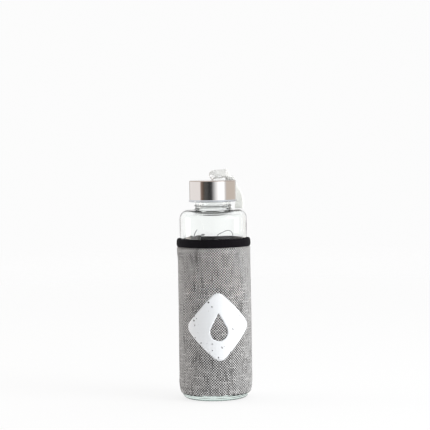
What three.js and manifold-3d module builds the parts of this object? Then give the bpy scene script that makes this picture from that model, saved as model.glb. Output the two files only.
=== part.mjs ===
// Glass water bottle: a clear glass flask with a steel screw cap, a ribbon carry loop that
// hangs from a wire bridge on the cap, and a padded cloth sleeve with a drawn top binding.
// Millimetres, +Z up. The origin is on the bottle's axis, on the surface that it stands on,
// and the printed front of the sleeve faces -Y.
import * as THREE from 'three';
import { mergeVertices } from 'three/addons/utils/BufferGeometryUtils.js';
import Module from 'manifold-3d';

const wasm = await Module();
wasm.setup();

// ---------- driving dimensions ----------
const gap = 0.3; // clearance between neighbouring solids
const roundSteps = 40; // facets round the glass and the cap
const clothSteps = 32; // facets round the sleeve
const weldDistance = 1e-4;

const bottleRadius = 34;
const glassWall = 3;
const heelRadius = 6;
const pushUpRadius = 25; // where the hollow under the base begins
const pushUpHeight = 3;
const floorHeight = 7; // inside floor, at its edge
const floorCrown = 1.8; // rise of the inside floor at its middle
const shoulderTop = 191.5;
const shoulderRadius = 8.5;
const neckRadius = 17.9;
const neckFillet = 3;
const boreRadius = 14.7;
const boreFillet = 2.5; // inside, where the shoulder meets the bore
const innerHeel = 5;
const beadHeight = 196;
const beadRadius = 0.9;
const lipTop = 216.7;
const lipRadius = 1.4;

const threadLead = 4.2; // rise in one turn, right-handed
const threadTurns = 2;
const threadStart = 204.2;
const threadReach = 1.2; // how far a ridge stands out of its wall
const threadBase = 1.5; // ridge width at the wall
const threadCrest = 0.7; // ridge width at its top
const threadStepsPerTurn = 25;

const capRadius = 23.65;
const capTop = 221.4;
const capCorner = 0.9;
const steelThickness = 0.7;
const rimCentreHeight = 200.75; // rolled edge at the foot of the cap
const rimRadius = 1.15;

const insertWall = 3;
const insertBottom = 202.2;
const insertPlateTop = 219.7;
const insertPlateThickness = 1.2;
const insertRimWidth = 1.7;
const insertChamfer = 1;
const sealThickness = 1.2;
const sealWidth = 4;
const sealOverhang = 1; // how far the seal reaches past the neck

const wireRadius = 1; // bridge wire
const bridgeSpan = 13.2; // between the centres of the bridge legs
const bridgeHeight = 3.1; // wire centre above the cap
const bridgeBend = 1.6;
const washerRadius = 3;
const washerThickness = 0.35;

const ribbonWidth = 8.6;
const ribbonThickness = 1;
const tackLength = 7;
const tackThickness = 0.5;
const tackStation = 18; // where the tack lies, counted in stations of the ribbon's route
const tackReach = 0.006; // half its height, as a share of the route

const sleeveRadius = 37.3;
const outerCloth = 0.7;
const liningRadius = 34.9;
const liningCloth = 0.5;
const foamThickness = 1.2;
const hemBottom = 5.6;
const hemTop = 13.2; // top of the turned-up edge
const sleeveTop = 153.4; // where the outer cloth steps into the binding
const tabTop = 159.6; // edge of the cloth inside the binding
const tabRadius = 35.75;
const tabThickness = 0.4;
const elasticThickness = 0.5;
const elasticWidth = 4;

const bindingBottom = 154.6;
const bindingTop = 162.7;
const bindingRadius = 37.4;
const bindingInner = 34.45;
const channelWidth = 1.3; // slot in the binding that takes the cloth edge and the draw cord
const joinAngles = [113, 145]; // degrees from +X, between the ends of the binding
const joinRise = 1; // how far the folded cloth at the join stands above the binding

const cordRadius = 0.35;
const cordSides = 8;
const cordHeight = 161; // draw cord inside the binding
const cordExitAngles = [53, 83]; // degrees from +X, where the cord leaves the binding
const knotAngle = 108;

const printThickness = 0.35;
const printReach = 34; // middle of the print to each rounded corner, along the cloth
const printCorner = 8;
const printHeight = 75.6; // middle of the print above the base
const printTurn = 6.2; // degrees from the front, towards +X
const printTilt = 1.25; // degrees that the print leans to the left
const seamWidth = 7;

// ---------- shared helpers ----------
const degrees = THREE.MathUtils.degToRad;

function finish(color, roughness, metalness = 0, more = {}) {
  return new THREE.MeshStandardMaterial({ color, roughness, metalness, ...more });
}

const finishes = {
  glass: finish(0xe9f2ee, 0.05, 0, { transparent: true, opacity: 0.35 }),
  steel: finish(0xb9b6b2, 0.3, 1),
  liner: finish(0xe8e8e4, 0.5),
  silicone: finish(0xf1f1ee, 0.6),
  ribbon: finish(0xe4e4e0, 0.7),
  cloth: finish(0x93908d, 0.95),
  foam: finish(0x3a3a3c, 1),
  lining: finish(0x9fa2a6, 0.9),
  binding: finish(0x19181c, 0.85),
  elastic: finish(0xd9d9d6, 0.9),
  cord: finish(0x2a2e38, 0.85),
  print: finish(0xe9ecef, 0.7),
};

// Turns a profile of radius and height about the Z axis. The outer side runs upwards.
function revolve(profile, steps = roundSteps, arcSteps = 3) {
  return new THREE.LatheGeometry(profile.getPoints(arcSteps), steps).rotateX(Math.PI / 2);
}

// A plain round band between two radii and two heights.
function band(innerRadius, outerRadius, bottom, top) {
  const profile = new THREE.Path();
  profile.moveTo(innerRadius, bottom).lineTo(outerRadius, bottom);
  profile.lineTo(outerRadius, top).lineTo(innerRadius, top).closePath();
  return profile;
}

// Joins shared corners and drops the triangles that vanish on the axis.
function weld(geometry) {
  geometry.deleteAttribute('normal');
  geometry.deleteAttribute('uv');
  const welded = mergeVertices(geometry, weldDistance);
  const corners = welded.index.array;
  const kept = [];
  for (let i = 0; i < corners.length; i += 3) {
    const triangle = [corners[i], corners[i + 1], corners[i + 2]];
    if (new Set(triangle).size === 3) kept.push(...triangle);
  }
  welded.setIndex(kept);
  return welded;
}

function toSolid(geometry) {
  const welded = weld(geometry);
  const vertProperties = new Float32Array(welded.attributes.position.array);
  const triVerts = new Uint32Array(welded.index.array);
  return new wasm.Manifold(new wasm.Mesh({ numProp: 3, vertProperties, triVerts }));
}

function toGeometry(solid) {
  const { vertProperties, triVerts } = solid.getMesh();
  const geometry = new THREE.BufferGeometry();
  geometry.setAttribute('position', new THREE.BufferAttribute(vertProperties, 3));
  geometry.setIndex(new THREE.BufferAttribute(triVerts, 1));
  return geometry;
}

// Skins over rings of equal point counts that run anticlockwise about the way they travel.
function loft(rings, closed = false) {
  const count = rings[0].length;
  const last = (rings.length - 1) * count;
  const spans = closed ? rings.length : rings.length - 1;
  const corners = [];
  for (let i = 0; i < spans; i++) {
    const here = i * count;
    const next = ((i + 1) % rings.length) * count;
    for (let j = 0; j < count; j++) {
      const k = (j + 1) % count;
      corners.push(here + j, here + k, next + k);
      corners.push(here + j, next + k, next + j);
    }
  }
  for (let j = 1; j < count - 1 && !closed; j++) {
    corners.push(0, j + 1, j);
    corners.push(last, last + j, last + j + 1);
  }
  const geometry = new THREE.BufferGeometry().setFromPoints(rings.flat());
  geometry.setIndex(corners);
  return geometry;
}

function roundSection(radius, sides) {
  const section = new THREE.Shape();
  for (let i = 0; i < sides; i++) {
    const angle = (2 * Math.PI * i) / sides;
    const x = radius * Math.cos(angle);
    const y = radius * Math.sin(angle);
    if (i === 0) section.moveTo(x, y);
    else section.lineTo(x, y);
  }
  return section.closePath();
}

function tube(path, radius, sides, steps) {
  const options = { extrudePath: path, steps, curveSegments: 1, bevelEnabled: false };
  return new THREE.ExtrudeGeometry(roundSection(radius, sides), options);
}

// A point at an angle in degrees from +X, a radius and a height.
function polar(angle, radius, height) {
  const turn = degrees(angle);
  return new THREE.Vector3(radius * Math.cos(turn), radius * Math.sin(turn), height);
}

// A helical ridge that fades out at both ends. side is 1 on a neck and -1 inside a cap.
function threadRidge(wallRadius, start, side) {
  const steps = threadTurns * threadStepsPerTurn;
  const fadeSteps = threadStepsPerTurn / 5;
  const rings = [];
  for (let i = 0; i <= steps; i++) {
    const fade = Math.min(1, (i + 0.5) / fadeSteps, (steps - i + 0.5) / fadeSteps);
    const angle = (360 * i) / threadStepsPerTurn;
    const middle = start + (threadLead * i) / threadStepsPerTurn;
    const root = wallRadius - side * gap;
    const crest = wallRadius + side * threadReach * fade;
    const ring = [
      polar(angle, root, middle + threadBase / 2),
      polar(angle, crest, middle + threadCrest / 2),
      polar(angle, crest, middle - threadCrest / 2),
      polar(angle, root, middle - threadBase / 2),
    ];
    rings.push(side > 0 ? ring : ring.reverse());
  }
  return loft(rings);
}

// ---------- glass ----------
function glassBottle() {
  const innerRadius = bottleRadius - glassWall;
  const shoulderCentre = bottleRadius - shoulderRadius;
  const shoulderFoot = shoulderTop - shoulderRadius;
  const innerShoulder = shoulderRadius - glassWall;
  const filletRadius = neckRadius + neckFillet;
  const filletHeight = shoulderTop + neckFillet;
  const boreCentre = boreRadius + boreFillet;
  const boreHeight = shoulderFoot + innerShoulder + boreFillet;
  const lipCentre = lipTop - lipRadius;
  const right = Math.PI / 2;
  const profile = new THREE.Path();
  profile.moveTo(0, pushUpHeight);
  profile.quadraticCurveTo(0.7 * pushUpRadius, pushUpHeight, pushUpRadius, 0);
  profile.absarc(bottleRadius - heelRadius, heelRadius, heelRadius, -right, 0);
  profile.absarc(shoulderCentre, shoulderFoot, shoulderRadius, 0, right);
  profile.absarc(filletRadius, filletHeight, neckFillet, -right, -2 * right, true);
  profile.absarc(neckRadius, beadHeight, beadRadius, -right, right);
  profile.absarc(neckRadius - lipRadius, lipCentre, lipRadius, 0, right);
  profile.absarc(boreRadius + lipRadius, lipCentre, lipRadius, right, 2 * right);
  profile.absarc(boreCentre, boreHeight, boreFillet, 2 * right, 3 * right);
  profile.absarc(shoulderCentre, shoulderFoot, innerShoulder, right, 0, true);
  profile.absarc(innerRadius - innerHeel, floorHeight + innerHeel, innerHeel, 0, -right, true);
  profile.quadraticCurveTo(innerRadius / 2, floorHeight + floorCrown, 0, floorHeight + floorCrown);
  const ridge = threadRidge(neckRadius, threadStart, 1);
  return toGeometry(toSolid(revolve(profile, roundSteps, 2)).add(toSolid(ridge)));
}

// ---------- cap ----------
const steelInner = capRadius - steelThickness;
const insertRadius = steelInner - gap;
const insertInner = insertRadius - insertWall;
const legPositions = [-bridgeSpan / 2, bridgeSpan / 2];

function capShell() {
  const innerCorner = capCorner - steelThickness;
  const rimCentre = capRadius - rimRadius / 4;
  const meet = Math.acos((rimCentre - steelInner) / rimRadius);
  const outerMeet = Math.acos((capRadius - rimCentre) / rimRadius);
  const right = Math.PI / 2;
  const profile = new THREE.Path();
  profile.moveTo(0, capTop - steelThickness);
  profile.lineTo(steelInner - innerCorner, capTop - steelThickness);
  profile.absarc(steelInner - innerCorner, capTop - capCorner, innerCorner, right, 0, true);
  profile.absarc(rimCentre, rimCentreHeight, rimRadius, Math.PI - meet, 2 * Math.PI + outerMeet);
  profile.absarc(capRadius - capCorner, capTop - capCorner, capCorner, 0, right);
  profile.lineTo(0, capTop);
  let shell = toSolid(revolve(profile, roundSteps, 3));
  for (const y of legPositions) {
    const holeRadius = wireRadius + gap;
    const hole = new THREE.CylinderGeometry(holeRadius, holeRadius, 4 * steelThickness, 20);
    hole.rotateX(Math.PI / 2).translate(0, y, capTop);
    shell = shell.subtract(toSolid(hole));
  }
  return toGeometry(shell);
}

function capInsert() {
  const plateBottom = insertPlateTop - insertPlateThickness;
  const rimTop = capTop - steelThickness - gap;
  const rimInner = insertRadius - insertChamfer - insertRimWidth;
  const profile = new THREE.Path();
  profile.moveTo(0, plateBottom).lineTo(insertInner, plateBottom);
  profile.lineTo(insertInner, insertBottom).lineTo(insertRadius, insertBottom);
  profile.lineTo(insertRadius, rimTop - insertChamfer).lineTo(insertRadius - insertChamfer, rimTop);
  profile.lineTo(rimInner, rimTop).lineTo(rimInner, insertPlateTop).lineTo(0, insertPlateTop);
  const ridge = threadRidge(insertInner, threadStart + threadLead / 2, -1);
  return toGeometry(toSolid(revolve(profile)).add(toSolid(ridge)));
}

function capSeal() {
  const bottom = lipTop + gap;
  const outer = neckRadius + sealOverhang;
  return revolve(band(outer - sealWidth, outer, bottom, bottom + sealThickness));
}

// ---------- bridge and ribbon ----------
const barHeight = capTop + bridgeHeight;

function strapBridge() {
  const foot = insertPlateTop + gap;
  const reach = bridgeSpan / 2;
  const corners = [
    new THREE.Vector3(0, -reach, foot),
    new THREE.Vector3(0, -reach, barHeight - bridgeBend),
    new THREE.Vector3(0, -reach, barHeight),
    new THREE.Vector3(0, bridgeBend - reach, barHeight),
    new THREE.Vector3(0, reach - bridgeBend, barHeight),
    new THREE.Vector3(0, reach, barHeight),
    new THREE.Vector3(0, reach, barHeight - bridgeBend),
    new THREE.Vector3(0, reach, foot),
  ];
  const path = new THREE.CurvePath();
  path.add(new THREE.LineCurve3(corners[0], corners[1]));
  path.add(new THREE.QuadraticBezierCurve3(corners[1], corners[2], corners[3]));
  path.add(new THREE.LineCurve3(corners[3], corners[4]));
  path.add(new THREE.QuadraticBezierCurve3(corners[4], corners[5], corners[6]));
  path.add(new THREE.LineCurve3(corners[6], corners[7]));
  return tube(path, wireRadius, 8, 22);
}

function bridgeWasher() {
  const top = capTop - steelThickness - gap;
  return revolve(band(wireRadius + gap, washerRadius, top - washerThickness, top), 20);
}

// The ribbon's route: middle of the ribbon, then the direction across its width.
function ribbonStations() {
  const wrapRadius = wireRadius + gap + ribbonThickness / 2;
  const route = [];
  for (const angle of [-70, -110, -150]) {
    const turn = degrees(angle);
    const x = wrapRadius * Math.cos(turn);
    route.push([x, 0, barHeight + wrapRadius * Math.sin(turn), 0, 1, 0]);
  }
  route.push(
    // left of the wire, rising loosely
    [-2.4, 0, 224.5, 0, 1, 0],
    [-2.9, 0.1, 225.7, 0, 1, 0.05],
    [-2.4, 0.3, 227, 0, 0.98, 0.2],
    // upper run: to the right, then back over the edge of the cap
    [-1.1, 0.7, 228, 0, 0.88, 0.45],
    [1.4, 1.2, 228.6, 0, 0.74, 0.66],
    [4.8, 1.8, 228.8, 0, 0.66, 0.75],
    [9.6, 2.8, 228.8, 0, 0.62, 0.78],
    [14.2, 4.2, 228.7, 0, 0.45, 0.88],
    [16.9, 7.2, 228.1, -0.18, 0.3, 0.9],
    [17.2, 10.8, 227.4, -0.6, 0.14, 0.74],
    [16.9, 14.5, 226.2, -0.88, 0.08, 0.38],
    [17.3, 18.3, 225.1, -0.96, 0.05, 0.12],
    [18.2, 21.8, 222.6, -0.98, 0.1, 0.02],
    // outer fall, down to the turn above the shoulder
    [19.6, 22.9, 218.4, -0.98, 0.16, 0.02],
    [22.3, 21.8, 213, -0.97, 0.2, 0.03],
    [25, 20.4, 208.4, -0.96, 0.26, 0.05],
    [27, 18.9, 203.2, -0.95, 0.3, 0.08],
    [27.7, 18.2, 197.8, -0.95, 0.3, 0.1],
    [27.3, 17.9, 194.1, -0.95, 0.3, 0.1],
    [26.9, 17.1, 192, -0.95, 0.3, 0.1],
    // inner run, back up and under the upper one
    [26.6, 16.4, 194, -0.95, 0.3, 0.1],
    [27, 16.5, 198, -0.95, 0.3, 0.1],
    [26.3, 17.2, 203.2, -0.95, 0.3, 0.08],
    [24.3, 18.7, 208.4, -0.96, 0.26, 0.05],
    [21.6, 20.1, 213, -0.97, 0.2, 0.03],
    [19, 21.2, 218.2, -0.98, 0.16, 0.02],
    [17.8, 20.4, 221.2, -0.98, 0.1, 0.02],
    [16.9, 17, 223.2, -0.96, 0.08, 0.12],
    [16.2, 12.8, 224.1, -0.88, 0.15, 0.3],
    [13.6, 8.4, 224.5, -0.5, 0.6, 0.4],
    [9.6, 4.6, 223.9, -0.1, 0.96, -0.2],
    [5.2, 1.4, 223.9, 0, 0.97, 0.25],
  );
  return route;
}

const ribbonRoute = ribbonStations();
const ribbonMiddle = new THREE.CatmullRomCurve3(
  ribbonRoute.map(([x, y, z]) => new THREE.Vector3(x, y, z)), true, 'centripetal');
const ribbonAcross = new THREE.CatmullRomCurve3(
  ribbonRoute.map((row) => new THREE.Vector3(row[3], row[4], row[5])), true, 'centripetal');

// Four corners of the ribbon at a place on its route; lift moves them off its face.
function ribbonSection(place, width, thickness, lift) {
  const middle = ribbonMiddle.getPoint(place);
  const along = ribbonMiddle.getTangent(place);
  const across = ribbonAcross.getPoint(place);
  across.addScaledVector(along, -across.dot(along)).normalize();
  const face = new THREE.Vector3().crossVectors(along, across);
  const corner = (side, height) => middle.clone()
    .addScaledVector(across, (side * width) / 2)
    .addScaledVector(face, lift + (height * thickness) / 2);
  return [corner(1, -1), corner(1, 1), corner(-1, 1), corner(-1, -1)];
}

function strapRibbon() {
  const steps = 3 * ribbonRoute.length;
  const rings = [];
  for (let i = 0; i < steps; i++) {
    rings.push(ribbonSection(i / steps, ribbonWidth, ribbonThickness, 0));
  }
  return loft(rings, true);
}

// Block of thread that closes the loop, on the back of the outer fall.
function strapTack() {
  const middle = tackStation / ribbonRoute.length;
  const lift = (ribbonThickness + tackThickness) / 2 + gap;
  const rings = [-1, 0, 1].map((side) => (
    ribbonSection(middle + side * tackReach, tackLength, tackThickness, lift)));
  return loft(rings);
}

// ---------- sleeve ----------
const sleeveInner = sleeveRadius - outerCloth;
const liningInner = liningRadius - liningCloth;
const crownRadius = (bindingRadius + bindingInner) / 2;

function sleeveOuter() {
  const foldOuter = sleeveInner - 0.1;
  const legOuter = liningInner + 0.4;
  const slotOuter = foldOuter - 0.6;
  const profile = new THREE.Path();
  profile.moveTo(liningInner, hemTop).lineTo(liningInner, hemBottom + 0.6);
  profile.quadraticCurveTo(liningInner, hemBottom, liningInner + 0.8, hemBottom);
  profile.quadraticCurveTo(foldOuter, hemBottom, foldOuter, hemBottom + 1.6);
  profile.quadraticCurveTo(sleeveRadius, hemTop - 5, sleeveRadius, hemTop + 1);
  profile.lineTo(sleeveRadius, sleeveTop).lineTo(tabRadius, sleeveTop + 1);
  profile.lineTo(tabRadius, tabTop).lineTo(tabRadius - tabThickness, tabTop);
  profile.lineTo(tabRadius - tabThickness, sleeveTop + 0.8).lineTo(sleeveInner, sleeveTop - 0.1);
  profile.lineTo(sleeveInner, hemTop + 5);
  profile.quadraticCurveTo(sleeveInner, hemTop, slotOuter, hemTop - 1.2);
  profile.lineTo(slotOuter, hemBottom + 1.4).lineTo(legOuter, hemBottom + 1.2);
  profile.lineTo(legOuter, hemTop).closePath();
  return revolve(profile, clothSteps);
}

function sleeveFoam() {
  const inner = liningRadius + gap;
  return revolve(band(inner, inner + foamThickness, hemTop + 5, sleeveTop - 0.6), clothSteps);
}

function sleeveLining() {
  return revolve(band(liningInner, liningRadius, hemTop + gap, sleeveTop + 0.4), clothSteps);
}

function hemElastic() {
  const inner = liningInner + 0.4 + gap;
  const bottom = hemBottom + 1.4 + gap;
  return revolve(band(inner, inner + elasticThickness, bottom, bottom + elasticWidth), clothSteps);
}

// The folded ring that takes the cloth edge and the draw cord in its channel.
function foldedRing(outerRadius, top) {
  const channelInner = tabRadius - tabThickness - gap;
  const channelOuter = channelInner + channelWidth;
  const channelTop = cordHeight + cordRadius + gap;
  const bulge = bindingTop - 4.2;
  const crown = (outerRadius + bindingInner) / 2;
  const profile = new THREE.Path();
  profile.moveTo(channelOuter, bindingBottom).lineTo(outerRadius - 0.5, bindingBottom);
  profile.quadraticCurveTo(outerRadius + 0.2, bindingBottom + 2.4, outerRadius, bulge);
  profile.quadraticCurveTo(outerRadius - 0.2, top, crown, top);
  profile.quadraticCurveTo(bindingInner + 0.1, top, bindingInner, bulge);
  profile.lineTo(bindingInner, bindingBottom).lineTo(channelInner, bindingBottom);
  profile.lineTo(channelInner, channelTop).lineTo(channelOuter, channelTop).closePath();
  return toSolid(revolve(profile, clothSteps));
}

// A wedge about the axis between two angles, tall enough to cut the folded ring.
function joinWedge(first, last) {
  const reach = 2 * bindingRadius;
  const wedge = new THREE.Shape();
  wedge.moveTo(0, 0);
  wedge.lineTo(reach * Math.cos(degrees(first)), reach * Math.sin(degrees(first)));
  wedge.lineTo(reach * Math.cos(degrees(last)), reach * Math.sin(degrees(last)));
  wedge.closePath();
  const prism = new THREE.ExtrudeGeometry(wedge, { depth: bindingTop, bevelEnabled: false });
  return toSolid(prism.translate(0, 0, bindingTop / 2));
}

function topBinding() {
  const [first, last] = joinAngles;
  return toGeometry(foldedRing(bindingRadius, bindingTop).subtract(joinWedge(first, last)));
}

// The folded end of the cloth that fills the join of the binding.
function sleeveJoin() {
  const [first, last] = joinAngles;
  const margin = THREE.MathUtils.radToDeg(gap / crownRadius);
  const ring = foldedRing(bindingRadius - 0.4, bindingTop + joinRise);
  return toGeometry(ring.intersect(joinWedge(first + margin, last - margin)));
}

// Cuts a thin curved panel out of a band round the sleeve. The outline is measured along the
// cloth from the middle of the panel, which faces turn degrees from the front.
function wrappedPanel(outline, holes, turn, thickness) {
  const inner = sleeveRadius + gap;
  const bend = ({ x, y }) => new THREE.Vector2(inner * Math.sin(x / inner), y);
  const shape = new THREE.Shape(outline.map(bend));
  shape.holes = holes.map((hole) => new THREE.Path(hole.map(bend)));
  const prism = new THREE.ExtrudeGeometry(shape, { depth: bindingRadius + 4, bevelEnabled: false });
  prism.rotateX(Math.PI / 2).rotateZ(degrees(turn));
  const wall = revolve(band(inner, inner + thickness, hemBottom, bindingBottom), clothSteps);
  return toGeometry(toSolid(prism).intersect(toSolid(wall)));
}

// A rounded diamond with a water drop left open in its middle.
function emblemPrint() {
  const centre = printReach - printCorner;
  const quarter = Math.PI / 4;
  const diamond = new THREE.Path();
  for (let side = 0; side < 4; side++) {
    const turn = 2 * side * quarter;
    const x = centre * Math.cos(turn);
    const y = centre * Math.sin(turn);
    diamond.absarc(x, y, printCorner, turn - quarter, turn + quarter);
  }
  diamond.closePath();
  const dropRadius = 9;
  const dropHeight = -5;
  const tip = 19;
  const touch = Math.PI / 2 - Math.acos(dropRadius / tip);
  const drop = new THREE.Path();
  drop.moveTo(0, dropHeight + tip);
  drop.lineTo(dropRadius * Math.cos(touch), dropHeight + dropRadius * Math.sin(touch));
  drop.absarc(0, dropHeight, dropRadius, touch, -Math.PI - touch, true);
  drop.closePath();
  const middle = new THREE.Vector2();
  const raised = new THREE.Vector2(0, printHeight);
  const lean = (points) => points.map(
    (point) => point.rotateAround(middle, degrees(printTilt)).add(raised));
  const outline = lean(diamond.getSpacedPoints(60));
  return wrappedPanel(outline, [lean(drop.getPoints(8))], printTurn, printThickness);
}

function backSeam() {
  const half = seamWidth / 2;
  const bottom = hemTop + 6;
  const top = bindingBottom - 2 * gap;
  const corners = [[-half, bottom], [half, bottom], [half, top], [-half, top]];
  const outline = corners.map(([x, y]) => new THREE.Vector2(x, y));
  return wrappedPanel(outline, [], (joinAngles[0] + joinAngles[1]) / 2 + 90, printThickness);
}

// ---------- draw cord ----------
const channelMiddle = tabRadius - tabThickness - gap + channelWidth / 2;

// The stretch inside the binding, round the front from one exit to the other.
function cordInBinding() {
  const [first, second] = cordExitAngles;
  const span = 360 - (second - first);
  const count = 24;
  const points = [];
  for (let i = 0; i <= count; i++) {
    points.push(polar(second + (span * i) / count, channelMiddle, cordHeight));
  }
  return tube(new THREE.CatmullRomCurve3(points), cordRadius, cordSides, 32);
}

// The free loop at the back: out of the binding, over and back in.
function cordLoop() {
  const [first, second] = cordExitAngles;
  const exitHeight = bindingTop + gap;
  const points = [
    polar(second, crownRadius, exitHeight),
    polar(second - 0.7, crownRadius + 0.7, exitHeight + 0.9),
    polar(second - 3.5, crownRadius + 3.2, exitHeight + 1.9),
    polar(second - 8, crownRadius + 6, exitHeight + 3.2),
    polar(second - 12.5, crownRadius + 8.2, exitHeight + 4.5),
    polar(first + 13.5, crownRadius + 8.5, exitHeight + 4.7),
    polar(first + 9.5, crownRadius + 7.1, exitHeight + 4.2),
    polar(first + 5, crownRadius + 4, exitHeight + 2.9),
    polar(first + 1, crownRadius + 0.8, exitHeight + 1.5),
    polar(first, crownRadius, exitHeight),
  ];
  return tube(new THREE.CatmullRomCurve3(points), cordRadius, cordSides, 16);
}

// The knot that stops the cord, with its short cut end.
function cordKnot() {
  const height = bindingTop + gap + 1.1;
  const middle = polar(knotAngle, crownRadius + 0.2, height);
  const knot = new THREE.SphereGeometry(1, 12, 8).scale(2.4, 1.2, 1.1);
  knot.rotateZ(degrees(knotAngle + 90)).translate(middle.x, middle.y, middle.z);
  const points = [
    middle,
    polar(knotAngle + 2, crownRadius + 1.6, height - 0.3),
    polar(knotAngle + 5, crownRadius + 2.9, height - 1.6),
    polar(knotAngle + 10, crownRadius + 3, height - 2.6),
    polar(knotAngle + 15, crownRadius + 2.8, height - 1.6),
    polar(knotAngle + 15.8, crownRadius + 2.2, height + 0.8),
    polar(knotAngle + 13.2, crownRadius + 1.9, height + 3.4),
    polar(knotAngle + 10.4, crownRadius + 1.8, height + 5.5),
  ];
  const end = tube(new THREE.CatmullRomCurve3(points), cordRadius, cordSides, 16);
  return toGeometry(toSolid(knot).add(toSolid(end)));
}

// ---------- assembly ----------
function piece(name, geometry, material, parent) {
  const mesh = new THREE.Mesh(weld(geometry), material);
  mesh.name = name;
  parent.add(mesh);
  return mesh;
}

const bottle = new THREE.Group();
piece('glass_bottle', glassBottle(), finishes.glass, bottle);

const cap = new THREE.Group();
piece('cap_shell', capShell(), finishes.steel, cap);
piece('cap_insert', capInsert(), finishes.liner, cap);
piece('cap_seal', capSeal(), finishes.silicone, cap);
piece('strap_bridge', strapBridge(), finishes.steel, cap);
piece('bridge_washer_front', bridgeWasher(), finishes.steel, cap).position.y = legPositions[0];
piece('bridge_washer_back', bridgeWasher(), finishes.steel, cap).position.y = legPositions[1];

const strap = new THREE.Group();
piece('strap_ribbon', strapRibbon(), finishes.ribbon, strap);
piece('strap_bar_tack', strapTack(), finishes.ribbon, strap);
cap.add(strap);

const sleeve = new THREE.Group();
piece('sleeve_outer', sleeveOuter(), finishes.cloth, sleeve);
piece('sleeve_foam', sleeveFoam(), finishes.foam, sleeve);
piece('sleeve_lining', sleeveLining(), finishes.lining, sleeve);
piece('sleeve_hem_elastic', hemElastic(), finishes.elastic, sleeve);
piece('sleeve_top_binding', topBinding(), finishes.binding, sleeve);
piece('sleeve_join', sleeveJoin(), finishes.cloth, sleeve);
piece('sleeve_back_seam', backSeam(), finishes.cloth, sleeve);
piece('emblem_print', emblemPrint(), finishes.print, sleeve);
piece('draw_cord_inner', cordInBinding(), finishes.cord, sleeve);
piece('draw_cord_loop', cordLoop(), finishes.cord, sleeve);
piece('draw_cord_knot', cordKnot(), finishes.cord, sleeve);

const glassWaterBottle = new THREE.Group();
glassWaterBottle.add(bottle, cap, sleeve);

export default glassWaterBottle;
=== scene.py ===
import math

import bmesh
import bpy
from mathutils import Matrix, Vector
from mathutils.geometry import delaunay_2d_cdt


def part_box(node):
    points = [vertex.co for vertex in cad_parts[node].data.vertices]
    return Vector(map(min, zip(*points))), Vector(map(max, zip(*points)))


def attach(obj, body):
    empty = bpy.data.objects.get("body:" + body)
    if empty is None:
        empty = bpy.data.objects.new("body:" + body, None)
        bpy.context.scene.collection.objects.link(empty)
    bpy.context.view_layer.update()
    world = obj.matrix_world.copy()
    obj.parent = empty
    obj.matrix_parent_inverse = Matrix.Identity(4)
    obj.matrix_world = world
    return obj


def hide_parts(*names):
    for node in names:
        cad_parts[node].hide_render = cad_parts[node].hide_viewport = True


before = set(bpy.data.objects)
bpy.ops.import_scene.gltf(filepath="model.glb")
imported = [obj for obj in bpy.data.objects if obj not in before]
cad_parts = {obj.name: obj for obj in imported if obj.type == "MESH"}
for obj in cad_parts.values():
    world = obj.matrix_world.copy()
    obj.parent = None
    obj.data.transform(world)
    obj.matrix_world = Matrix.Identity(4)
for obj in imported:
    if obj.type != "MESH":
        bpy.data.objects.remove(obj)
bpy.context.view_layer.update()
scene = bpy.context.scene
scene.view_settings.view_transform = "Standard"

mm = 0.001
around = 2 * math.pi
print("frame loaded:", len(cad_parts), "parts")


def boxOf(node):
    low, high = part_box(node)
    return low / mm, high / mm


# camera

cameraSetup = {
    "place": (2.0, -1725.5, 266.0),
    "target": (2.0, 0.0, 186.0),
    "lens": 142.3,
    "sensor": 36,
    "roll": -0.95,  # degrees
    "clip": (0.05, 40),  # metres
}


def addCamera(setup):
    camera = bpy.data.objects.new("camera", bpy.data.cameras.new("camera"))
    scene.collection.objects.link(camera)
    place = Vector(setup["place"]) * mm
    camera.location = place
    aim = (Vector(setup["target"]) * mm - place).to_track_quat("-Z", "Y").to_matrix()
    roll = Matrix.Rotation(math.radians(setup["roll"]), 3, "Z")
    camera.rotation_euler = (aim @ roll).to_euler()
    camera.data.sensor_width = setup["sensor"]
    camera.data.lens = setup["lens"]
    camera.data.clip_start, camera.data.clip_end = setup["clip"]
    scene.camera = camera


addCamera(cameraSetup)
print("camera placed")


# shape helpers

def polar(angle, radius, height):  # angle in degrees from +X
    turn = math.radians(angle)
    return Vector((radius * math.cos(turn), radius * math.sin(turn), height))


def smooth(value):  # eased step between 0 and 1
    value = min(1.0, max(0.0, value))
    return value * value * (3 - 2 * value)


def arc(centreX, centreY, radius, start, end, steps):  # degrees
    points = []
    for i in range(steps + 1):
        turn = math.radians(start + (end - start) * i / steps)
        points.append((centreX + radius * math.cos(turn), centreY + radius * math.sin(turn)))
    return points


def bow(start, control, end, steps):  # quadratic curve between two points
    points = []
    for i in range(steps + 1):
        t = i / steps
        points.append(tuple((1 - t) ** 2 * a + 2 * t * (1 - t) * b + t * t * c
                            for a, b, c in zip(start, control, end)))
    return points


def straight(start, end, steps):
    return bow(start, tuple((a + b) / 2 for a, b in zip(start, end)), end, steps)


def between(value, low, high, first, second):
    return (high - value) / (high - low) * first + (value - low) / (high - low) * second


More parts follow.
